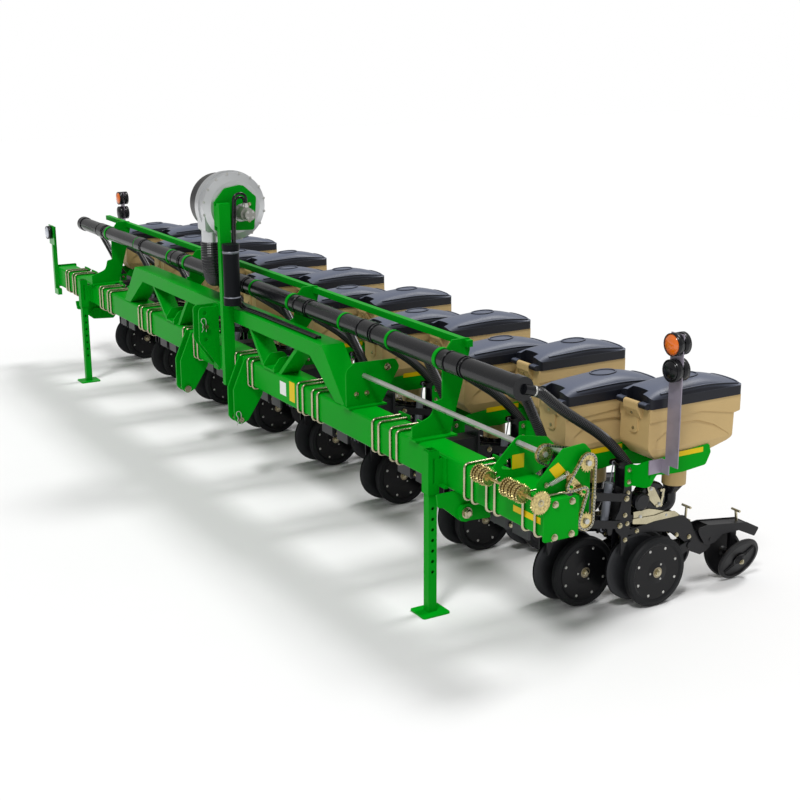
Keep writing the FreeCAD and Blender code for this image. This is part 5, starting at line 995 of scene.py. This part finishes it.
for place in ring(POST_X, MOTOR_MIDDLE, POST_BOLT_RADIUS, POST_BOLTS):
    wanted.append(("fan_post", place, RIGHT, 1.0))
on_fan = [("fan_housing", place, RIGHT, 0.7) for place in ring(RIM_X, RIM_MIDDLE, RIM_RADIUS, RIM_SCREWS)]


def bolt_on(name, rows, material):
    """Bolts whose seats a ray finds, as one piece on the root."""
    found = [(land(node, place, aim, reach=0.05), aim, scale) for node, place, aim, scale in rows]
    seated = [(seat - aim * SUNK, aim, scale) for seat, aim, scale in found if seat is not None]
    places, aims, scales = (list(column) for column in zip(*seated))
    grow(name, hex_bolt, places, material, aim=aims, size=scales)
    print(name, "without a seat:", len(rows) - len(seated))


bolt_on("frame_bolts", wanted, finishes["zinc"])
bolt_on("fan_screws", on_fan, finishes["bright_steel"])

# %% Bands on the tube and straps on the manifold pipe
DOCUMENT_TUBE_AXIS = (0.405, -0.040)
PIPE_AXIS = (0.180, 1.325)
STRAP_ROWS = (-2.0, -1.25, 0.32, 1.62, 2.2)
JOINT_MIDDLES = (-2.895, -1.930, -1.080, 0.120, 1.080, 1.930, 2.895)
JOINT_HALF = 0.083


def pipe_bands(name, rows, material, radius, width, thickness):
    """Bands round the manifold pipe at the given places along it."""
    grow(name, band, [spot(x, *PIPE_AXIS) for x in rows], material, aim=RIGHT, size=1.0,
         sizes={"Band Radius": radius, "Width": width, "Thickness": thickness, "Sides": 36})


grow("tube_bands", band, [spot(*DOCUMENT_TUBE_AXIS, 1.30), spot(*DOCUMENT_TUBE_AXIS, 1.61)],
     finishes["spring_steel"], aim=UP, size=1.0,
     sizes={"Band Radius": 0.0568, "Width": 0.016, "Thickness": 0.002, "Sides": 36})
pipe_bands("pipe_straps", STRAP_ROWS, finishes["green_paint"], 0.0592, 0.026, 0.003)
joint_rows = [x + side * JOINT_HALF for x in JOINT_MIDDLES for side in (-1, 1)]
pipe_bands("pipe_bands", joint_rows, finishes["black_plastic"], 0.0600, 0.012, 0.004)

# %% [markdown]
# ## Lamps
# The rear lamp boards carry two round lamps each. The upper one has an amber
# lens on both faces, so that it is seen from ahead and behind, and the lower
# one has a red lens behind and a plain black back. The far post in front has a
# clear reflector. Each lens is a shallow dome inside a black bezel.

# %% Lenses and bezels
LENS_RADIUS = 0.053
LENS_HIGH = 1.505
LENS_LOW = 1.368
BOARD_X = 3.7068
BOARD_FACE = 0.635
RIGHT_BOARD_BACK = 0.334
BOARD_THICKNESS = 0.006
AHEAD, BEHIND = -1.0, 1.0
BEZEL_STAND = 0.020
LENS_STAND = 0.012
REFLECTOR = (-3.790, -0.044, 1.222)
amber = finishes["lamp_lens"]
red = finish("red_lens", linear(170, 18, 14), 0.2, coat=0.6, uneven=0.05, dusty=0.05)
clear = finish("clear_lens", linear(190, 194, 204), 0.15, metal=0.3, coat=0.8, uneven=0.05, dusty=0.05)
lamps = []
for x, front in ((BOARD_X, BOARD_FACE + RIGHT_BOARD_BACK), (-BOARD_X, BOARD_FACE)):
    back = front + BOARD_THICKNESS
    lamps += [(amber, x, front, LENS_HIGH, AHEAD), (amber, x, back, LENS_HIGH, BEHIND),
              (red, x, back, LENS_LOW, BEHIND), (finishes["black_plastic"], x, front, LENS_LOW, AHEAD)]
lamps.append((clear, *REFLECTOR, AHEAD))
rims, rim_aims = [], []
for number, (material, x, y, z, facing) in enumerate(lamps, 1):
    aim = Vector((0.0, facing, 0.0))
    centre = spot(x, y, z) + aim * BEZEL_STAND
    rims.append(centre)
    rim_aims.append(aim)
    grow("lens_%02d" % number, dome, [centre + aim * LENS_STAND], material, aim=aim, size=1.0,
         sizes={"Radius": LENS_RADIUS, "Height": 0.020, "Rim": 0.004, "Segments": 28, "Rings": 12})
grow("lamp_bezels", band, rims, finishes["black_plastic"], aim=rim_aims, size=1.0,
     sizes={"Band Radius": 0.058, "Width": 0.038, "Thickness": 0.004, "Sides": 32})

# %% [markdown]
# ## Plates and stripes
# Working machines carry coloured stripes and safety plates. Here they are
# blank: plain yellow and white plates in their places, about half a millimetre
# thick, standing a tenth of one off the steel, so that no two faces fight.

# %% Blank plates
THICK = 0.0006
OFF_STEEL = 0.0001


def plate(mesh_faces, mesh_points, corners, aim, thickness):
    """Adds a thin closed plate with its back on the given corners."""
    first = len(mesh_points)
    count = len(corners)
    mesh_points += corners + [corner + aim * thickness for corner in corners]
    order = list(range(count))
    turning = Vector((0.0, 0.0, 0.0))
    for here, there in zip(corners, corners[1:] + corners[:1]):
        turning += here.cross(there)
    if turning.dot(aim) < 0.0:
        order.reverse()
    mesh_faces.append([first + count + number for number in order])
    mesh_faces.append([first + number for number in reversed(order)])
    for here, there in zip(order, order[1:] + order[:1]):
        mesh_faces.append([first + here, first + there, first + count + there, first + count + here])


def plates(name, rows, material, thickness=THICK):
    """Many plates as one piece on the root, each from its corners and the way it faces."""
    faces, points = [], []
    for corners, aim in rows:
        plate(faces, points, corners, aim, thickness)
    mesh = bpy.data.meshes.new(name)
    mesh.from_pydata([tuple(point) for point in points], [], faces)
    mesh.materials.append(material)
    piece = bpy.data.objects.new(name, mesh)
    bpy.context.scene.collection.objects.link(piece)
    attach(piece, "root")
    print(name, len(rows), "plates")


def front_plate(x_low, x_high, z_low, z_high):
    """A plate on the toolbar's front face."""
    corners = [(x_low, z_low), (x_high, z_low), (x_high, z_high), (x_low, z_high)]
    return [spot(x, -OFF_STEEL, z) for x, z in corners], FORWARD


def side_corners(x, pairs):
    """Corners of a plate that faces along X."""
    return [spot(x, y, z) for y, z in pairs]


# %% Yellow and white plates in their places
SADDLE_STRIPE = [(0.700, 0.862), (0.930, 0.862), (0.930, 0.890), (0.700, 0.890)]
INNER_BRACKET_PLATE = [(0.070, 0.945), (0.142, 0.945), (0.142, 1.018), (0.070, 1.018)]
OUTER_BRACKET_PLATE = [(0.080, 1.022), (0.134, 1.050), (0.180, 1.000), (0.123, 0.970)]
yellow = finish("yellow_plate", linear(222, 190, 4), 0.45, uneven=0.03, dusty=0.02, specular=0.2)
white = finish("white_plate", linear(226, 228, 224), 0.4, uneven=0.03, dusty=0.05)
yellow_rows = [front_plate(1.175, 1.250, 0.750, 0.880), front_plate(3.665, 3.890, 0.776, 0.808)]
saddle_low, saddle_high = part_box("hopper_saddles")
saddle_half = (saddle_high.x - saddle_low.x - (lids[16] - lids[1])) / 2.0
for row in ROWS:
    for side in (-1.0, 1.0):
        stripe = [at_hopper(row, side * (saddle_half + OFF_STEEL), y, z) for y, z in SADDLE_STRIPE]
        yellow_rows.append((stripe, Vector((side, 0.0, 0.0))))
for place, corners in ((spot(3.555, 0.105, 0.98), INNER_BRACKET_PLATE),
                       (spot(3.845, 0.125, 1.01), OUTER_BRACKET_PLATE)):
    seat = land("drive_brackets", place, RIGHT, reach=0.03)
    if seat is not None:
        yellow_rows.append((side_corners(seat.x + SHIFT.x + OFF_STEEL, corners), RIGHT))
plates("yellow_plates", yellow_rows, yellow)
plates("white_plates", [front_plate(1.034, 1.124, 0.765, 0.853)], white)
print("saddle half width", round(saddle_half, 4))

# %% [markdown]
# ## Closing wheels
# A closing wheel is a smooth dished cast wheel with a conical hub that stands
# out from it and ends in a plated axle nut. A pair of thin moulded lines runs
# across the dish. It leans twenty degrees, so its outer face points a little
# downwards and all its parts share that leaning plane. Each part is placed by
# how far it stands off the wheel's middle along its own axis.

# %% Hub cone tree
hub_cone, sizes = tree_for("hub_cone", {"Base Radius": 0.033, "Tip Radius": 0.016, "Height": 0.020,
                                        "Sides": 20, "Foot Height": 0.003})
cone = add(hub_cone, "GeometryNodeMeshCone", Vertices=sizes["Sides"], Radius_Top=sizes["Tip Radius"],
           Radius_Bottom=sizes["Base Radius"], Depth=sizes["Height"])
cone = shaded(hub_cone, cone, False)
foot = add(hub_cone, "GeometryNodeMeshCylinder", Vertices=sizes["Sides"],
           Radius=math_of(hub_cone, "MULTIPLY", sizes["Base Radius"], 1.25), Depth=sizes["Foot Height"])
end_tree(hub_cone, at_points(hub_cone, sizes, joined(hub_cone, cone, foot)), sizes)

# %% Hubs and lines of the closing wheels
CANT = math.radians(20.0)
LINE_HALF = 0.006
LINE_INNER = (0.0105, 0.026)
LINE_OUTER = (0.0050, 0.110)
CLOSING_X, CLOSING_Y, CLOSING_Z = 0.062, 1.325, 0.137
CONE_STAND = 0.0100
NUT_STAND = 0.0300
points, edges, hubs, cones, hub_aims = [], [], [], [], []
for row in ROWS:
    for side in (-1.0, 1.0):
        aim = Vector((side * math.cos(CANT), 0.0, -math.sin(CANT)))
        upward = aim.cross(BACKWARD)
        centre = at_unit(row, side * CLOSING_X, CLOSING_Y, CLOSING_Z)
        along = (BACKWARD + upward * side).normalized()
        beside = along.cross(aim) * LINE_HALF
        for shift in (-1.0, 1.0):
            for way in (-1.0, 1.0):
                first = len(points)
                points += [centre + aim * stand + along * way * reach + beside * shift
                           for stand, reach in (LINE_INNER, LINE_OUTER)]
                edges.append((first, first + 1))
        cones.append(centre + aim * CONE_STAND)
        hubs.append(centre + aim * NUT_STAND)
        hub_aims.append(aim)
grow("closing_lines", rod_tree, points, finishes["black_paint"], edges=edges,
     sizes={"Rod Radius": 0.0030, "Sides": 8, "Bend Steps": 1})
grow("closing_hubs", hub_cone, cones, finishes["black_paint"], aim=hub_aims, size=1.0)
grow("closing_nuts", hex_bolt, hubs, finishes["zinc"], aim=hub_aims, size=1.1,
     sizes={"Stud Length": 0.005, "Washer Radius": 0.0145})

# %% [markdown]
# ## Brackets, chain tensioner and fittings
# The seed meter hangs between thin zinc plated brackets. The outer chain has a
# three cornered idler plate pulled by a coil spring. The coil is Blender's own
# spiral curve given a round section, placed and aimed like a bolt. The fan
# motor stands on a round flange, with hexagonal fittings for its hydraulic
# hoses and four bolts in its cover.

# %% Meter brackets
UPPER_BRACKET = [(0.640, 0.690), (0.690, 0.672), (0.757, 0.560), (0.715, 0.553), (0.664, 0.603)]
LOWER_BRACKET = [(0.553, 0.556), (0.659, 0.556), (0.700, 0.545), (0.808, 0.511), (0.810, 0.485),
                 (0.557, 0.506)]
BRACKET_BOLTS = [(0.668, 0.668), (0.728, 0.572), (0.600, 0.522), (0.780, 0.500)]
BRACKET_X = 0.0405
BRACKET_THICKNESS = 0.003
rows, places, aims = [], [], []
for row in ROWS:
    for side in (-1.0, 1.0):
        outwards = Vector((side, 0.0, 0.0))
        for outline in (UPPER_BRACKET, LOWER_BRACKET):
            rows.append(([at_unit(row, side * BRACKET_X, y, z) for y, z in outline], outwards))
        for y, z in BRACKET_BOLTS:
            places.append(at_unit(row, side * (BRACKET_X + BRACKET_THICKNESS - OFF_STEEL), y, z))
            aims.append(outwards)
plates("meter_brackets", rows, finishes["zinc"], BRACKET_THICKNESS)
grow("bracket_bolts", hex_bolt, places, finishes["bright_steel"], aim=aims, size=0.8)

# %% Idler plate of the outer chain
IDLER_X = 3.8456
IDLER_THICKNESS = 0.004
IDLER = [(0.172, 1.000), (0.192, 0.996), (0.292, 0.896), (0.288, 0.872), (0.262, 0.870), (0.188, 0.908)]
plates("idler_plate", [(side_corners(IDLER_X, IDLER), RIGHT)], finishes["yellow_zinc"], IDLER_THICKNESS)

# %% Coil spring tree
coil, sizes = tree_for("coil_spring", {"Coil Radius": 0.010, "Wire Radius": 0.0019, "Turns": 14.0,
                                       "Length": 0.090})
curl = add(coil, "GeometryNodeCurveSpiral", Resolution=12, Rotations=sizes["Turns"],
           Start_Radius=sizes["Coil Radius"], End_Radius=sizes["Coil Radius"], Height=sizes["Length"])
wire = swept(coil, curl, round_section(coil, 6, sizes["Wire Radius"]))
end_tree(coil, at_points(coil, sizes, shaded(coil, wire, True)), sizes)

# %% Spring, hooks and pins of the tensioner
SPRING_X = 3.8585
HOOK_OVERLAP = 0.012
low_end, high_end = spot(SPRING_X, 0.067, 0.952), spot(SPRING_X, 0.168, 0.984)
pull = (high_end - low_end).normalized()
hooks = [low_end - pull * 0.004, low_end + pull * HOOK_OVERLAP,
         high_end - pull * HOOK_OVERLAP, high_end + pull * 0.008]
grow("tensioner_spring", coil, [low_end + pull * 0.008], finishes["bright_steel"], aim=pull, size=1.0)
grow("tensioner_hooks", rod_tree, hooks, finishes["bright_steel"], edges=[(0, 1), (2, 3)],
     sizes={"Rod Radius": 0.0032, "Sides": 8, "Bend Steps": 1})
grow("tensioner_pins", hex_bolt, [spot(3.8452, 0.062, 0.950), spot(3.8494, 0.178, 0.990)], finishes["zinc"],
     aim=RIGHT, size=1.0, sizes={"Stud Length": 0.012, "Stud Radius": 0.005})

# %% Flange, hydraulic fittings and cover bolts of the fan motor
COVER_X = 0.385
COVER_BOLTS = 4
COVER_BOLT_RADIUS = 0.026
FITTING = {"Head Radius": 0.0155, "Head Height": 0.016, "Washer Radius": 0.0135, "Washer Height": 0.004,
           "Stud Radius": 0.0115, "Stud Length": 0.022}
flange_seat = land("fan_post", spot(0.260, 0.122, 1.790), RIGHT, reach=0.05)
if flange_seat is not None:
    flange_x = flange_seat.x + SHIFT.x
    grow("motor_flange", dome, [spot(flange_x + 0.0005, *MOTOR_MIDDLE)], finishes["black_plastic"],
         aim=RIGHT, size=1.0,
         sizes={"Radius": 0.062, "Height": 0.010, "Rim": 0.006, "Segments": 40, "Rings": 12})
    print("motor flange at", round(flange_x, 4))
fittings = [spot(x, 0.122, 1.889) for x in (0.320, 0.285)]
grow("motor_fittings", hex_bolt, fittings, finishes["bright_steel"], aim=UP, size=1.0, sizes=FITTING)
cover = [land("fan_housing", place, RIGHT, reach=0.05)
         for place in ring(COVER_X, MOTOR_MIDDLE, COVER_BOLT_RADIUS, COVER_BOLTS)]
cover = [seat for seat in cover if seat is not None]
if cover:
    grow("motor_bolts", hex_bolt, cover, finishes["bright_steel"], aim=RIGHT, size=0.7)

# %% [markdown]
# ## Roller chains and change sprockets
# A roller chain is pairs of waisted link plates held by pins, one pitch of
# 15.875 mm apart. The chain's line is known from its wheels, each a centre, a
# pitch radius and a turning side: straight runs touch two wheels and arcs join
# them. Walking that line one pitch at a time gives every pin, and each pair of
# neighbours gives one link. Walking the line keeps links and CAD rollers
# together, which placing links by eye would not.

# %% Walk along a chain
PITCH = 0.015875
INNER_WHEELS = [(0.1030, 1.0780, 0.04548, 1), (0.1903, 1.0052, 0.02274, 1), (0.2920, 1.0300, 0.04548, 1)]
OUTER_WHEELS = [(0.2920, 1.0300, 0.04548, 1), (0.1930, 0.9250, 0.02274, 1), (0.2710, 0.8860, 0.02274, -1),
                (0.2890, 0.7320, 0.04295, 1)]


def chain_runs(wheels):
    """The straight runs, each from where it leaves one wheel to where it meets the next."""
    runs = []
    for (y0, z0, r0, t0), (y1, z1, r1, t1) in zip(wheels, wheels[1:] + wheels[:1]):
        lean = math.asin((t0 * r0 - t1 * r1) / math.hypot(y1 - y0, z1 - z0))
        normal = math.atan2(z1 - z0, y1 - y0) + lean - math.pi / 2.0
        across = Vector((math.cos(normal), math.sin(normal)))
        runs.append((Vector((y0, z0)) + across * t0 * r0, Vector((y1, z1)) + across * t1 * r1))
    return runs


def chain_line(wheels, fine=0.001):
    """Closely spaced (y, z) points all the way round a chain."""
    runs = chain_runs(wheels)
    line = []
    for number, (y, z, radius, turn) in enumerate(wheels):
        centre = Vector((y, z))
        arrive, leave = runs[number - 1][1] - centre, runs[number][0] - centre
        start = math.atan2(arrive.y, arrive.x)
        sweep = turn * ((turn * (math.atan2(leave.y, leave.x) - start)) % math.tau)
        steps = max(2, int(abs(sweep) * radius / fine))
        angles = [start + sweep * part / steps for part in range(steps)]
        line += [centre + radius * Vector((math.cos(angle), math.sin(angle))) for angle in angles]
        run = runs[number][1] - runs[number][0]
        steps = max(2, int(run.length / fine))
        line += [runs[number][0] + run * (part / steps) for part in range(steps)]
    return line


def chain_pins(wheels):
    """One (y, z) point for each pin, a pitch apart along the chain's line."""
    line = chain_line(wheels)
    gaps = [(there - here).length for here, there in zip(line, line[1:] + line[:1])]
    count = round(sum(gaps) / PITCH)
    pins, walked = [], 0.0
    for point, gap in zip(line, gaps):
        if walked >= len(pins) * sum(gaps) / count - 1e-6 and len(pins) < count:
            pins.append(point)
        walked += gap
    return pins


def link_outline(here, there, half, waist):
    """Figure of eight round two pins: round ends and a narrow middle."""
    along = (there - here).normalized()
    across = Vector((-along.y, along.x))
    outline = []
    for centre, way in ((here, -1.0), (there, 1.0)):
        for turn in (-80.0, -40.0, 0.0, 40.0, 80.0):
            angle = math.radians(turn)
            outline.append(centre + (along * math.cos(angle) + across * math.sin(angle)) * half * way)
        outline.append((here + there) / 2.0 + across * waist * way)
    return outline


# %% Link plates and pins
INNER_FACE = 3.7766
OUTER_FACE = 3.8726
OUTER_LINK_HALF = 0.0070
INNER_LINK_HALF = 0.0060
WAIST = 0.0042
OUTER_LINK_STAND = 0.0009
PIN_STAND = 0.0018
rows, pin_places = [], []
for wheels, face in ((INNER_WHEELS, INNER_FACE), (OUTER_WHEELS, OUTER_FACE)):
    pins = chain_pins(wheels)
    for number, (here, there) in enumerate(zip(pins, pins[1:] + pins[:1])):
        half, stand = (OUTER_LINK_HALF, OUTER_LINK_STAND) if number % 2 == 0 else (INNER_LINK_HALF, OFF_STEEL)
        rows.append((side_corners(face + stand, link_outline(here, there, half, WAIST)), RIGHT))
    pin_places += [spot(face + PIN_STAND, *pin) for pin in pins]
link_steel = finish("link_steel", linear(168, 165, 152), 0.3, metal=0.85, uneven=0.3, uneven_scale=40.0,
                    dusty=0.0)
plates("chain_links", rows, link_steel, 0.0010)
grow("chain_pins", dome, pin_places, finishes["disc_steel"], aim=RIGHT, size=0.55)

# %% [markdown]
# The change sprockets wait on a rod beside the drive, two stacks of them and
# one at the rod's end. They are stamped with teeth, so small tapered teeth are
# set round each rim by a point and a direction for each. Where the rod passes
# close in front of the toolbar, the teeth that would meet it are left out.

# %% Teeth of the change sprockets
tooth, sizes = tree_for("sprocket_tooth", {"Root Radius": 0.0052, "Tip Radius": 0.0020, "Height": 0.0070})
spike = add(tooth, "GeometryNodeMeshCone", Vertices=4, Radius_Top=sizes["Tip Radius"],
            Radius_Bottom=sizes["Root Radius"], Depth=sizes["Height"])
end_tree(tooth, at_points(tooth, sizes, spike), sizes)
SPARE_AXIS = (-0.042, 0.908)
SPARE_GAP = 0.019
SPARE_RADIUS = 0.044
SPARE_STEP = 0.003
END_SPARE = (3.9425, 0.054)
TOOTH_PITCH = 0.0122
TOOTH_REACH = 0.006
TOOTH_SUNK = 0.001
BAR_CLEAR_Y = -0.002
BAR_CLEAR_Z = 0.893
BAR_END_X = 3.938


def stack(start, count):
    """X and radius of each sprocket in a stack, whose radii step down in threes."""
    return [(start + SPARE_GAP * number, SPARE_RADIUS - SPARE_STEP * (number % 3)) for number in range(count)]


places, aims = [], []
for x, radius in stack(3.4175, 6) + stack(3.6675, 8) + [END_SPARE]:
    count = round(math.tau * radius / TOOTH_PITCH)
    for number in range(count):
        angle = math.tau * number / count
        aim = Vector((0.0, math.cos(angle), math.sin(angle)))
        tip_y, tip_z = (centre + part * (radius + TOOTH_REACH) for centre, part in zip(SPARE_AXIS, aim.yz))
        if tip_y < BAR_CLEAR_Y or tip_z > BAR_CLEAR_Z or x > BAR_END_X:
            places.append(spot(x, *SPARE_AXIS) + aim * (radius - TOOTH_SUNK))
            aims.append(aim)
grow("sprocket_teeth", tooth, places, finishes["yellow_zinc"], aim=aims, size=1.0)
grow("rod_nut", hex_bolt, [spot(3.946, *SPARE_AXIS)], finishes["zinc"], aim=RIGHT, size=1.0,
     sizes={"Head Radius": 0.0145, "Head Height": 0.003, "Washer Radius": 0.018, "Washer Height": 0.001,
            "Stud Length": 0.001})

# %% [markdown]
# ## Clips of the hitch pins
# Each hitch pin is locked by a sprung wire clip. One leg goes through a cross
# hole near the pin's free end and the other is waved so that it grips the pin
# from outside. One bent rod through a list of corners gives both legs.

# %% Wire clips
CLIP = [(0.0, -0.034), (0.0, 0.046), (0.012, 0.064), (0.032, 0.060), (0.036, 0.040), (0.021, 0.018),
        (0.027, 0.000), (0.021, -0.016), (0.034, -0.034)]
PIN_ENDS = [(0.5546, -0.072, 0.478), (-0.5546, -0.072, 0.478), (0.071, -0.103, 1.040)]
points, edges = [], []
for x, y, z in PIN_ENDS:
    first = len(points)
    points += [spot(x, y - across, z + up) for across, up in CLIP]
    edges += [(number, number + 1) for number in range(first, len(points) - 1)]
grow("hitch_clips", rod_tree, points, finishes["bright_steel"], edges=edges,
     sizes={"Rod Radius": 0.0026, "Bend Radius": 0.010, "Bend Steps": 4, "Sides": 8})

# %% [markdown]
# ## Studio
# The machine stands on a pale floor under a white sky. The camera sees pure
# white beyond the floor, while the floor itself keeps a soft shadow. One sun
# from the front lights what the camera sees, and a second from behind and
# above draws a bright edge along tops and pipes. Both are wide, so that no
# shadow has a hard edge.

# %% Floor
FLOOR_SIDE = 60.0
FLOOR_GREY = 0.81
corner = FLOOR_SIDE / 2.0
floor_corners = [(-corner, -corner, 0), (corner, -corner, 0), (corner, corner, 0), (-corner, corner, 0)]
floor_mesh = bpy.data.meshes.new("studio_floor")
floor_mesh.from_pydata(floor_corners, [], [(0, 1, 2, 3)])
floor_mesh.materials.append(finish("studio_floor", (FLOOR_GREY,) * 3, 0.85, uneven=0.01, uneven_scale=0.6,
                                   grain_scale=40.0, dusty=0.0, specular=0.1))
floor = bpy.data.objects.new("studio_floor", floor_mesh)
bpy.context.scene.collection.objects.link(floor)

# %% Sky: white to the camera, dimmer as a light
SKY_STRENGTH = 0.46
WHITE = (1.0, 1.0, 1.0, 1.0)
world = bpy.data.worlds.new("studio_sky")
bpy.context.scene.world = world
world.use_nodes = True
sky = world.node_tree
backdrop = sky.nodes["Background"]
backdrop.inputs["Color"].default_value = WHITE
path = sky.nodes.new("ShaderNodeLightPath")
direct = sky.nodes.new("ShaderNodeMapRange")
direct.inputs["To Min"].default_value = SKY_STRENGTH
direct.inputs["To Max"].default_value = 1.0
sky.links.new(path.outputs["Is Camera Ray"], direct.inputs["Value"])
sky.links.new(direct.outputs["Result"], backdrop.inputs["Strength"])


# %% Two suns
def add_sun(name, strength, width, shines_from):
    """A sun of some angular width in degrees, shining from a direction."""
    light = bpy.data.lights.new(name, "SUN")
    light.energy = strength
    light.angle = math.radians(width)
    lamp = bpy.data.objects.new(name, light)
    bpy.context.scene.collection.objects.link(lamp)
    lamp.rotation_euler = (-Vector(shines_from)).to_track_quat("-Z", "Y").to_euler()
    print(name, strength)


add_sun("studio_sun", 1.6, 12.0, (0.35, -0.45, 0.82))
add_sun("studio_back", 1.5, 16.0, (-0.05, 0.55, 0.83))
bpy.context.scene.view_settings.view_transform = "Standard"
print("sky", SKY_STRENGTH)
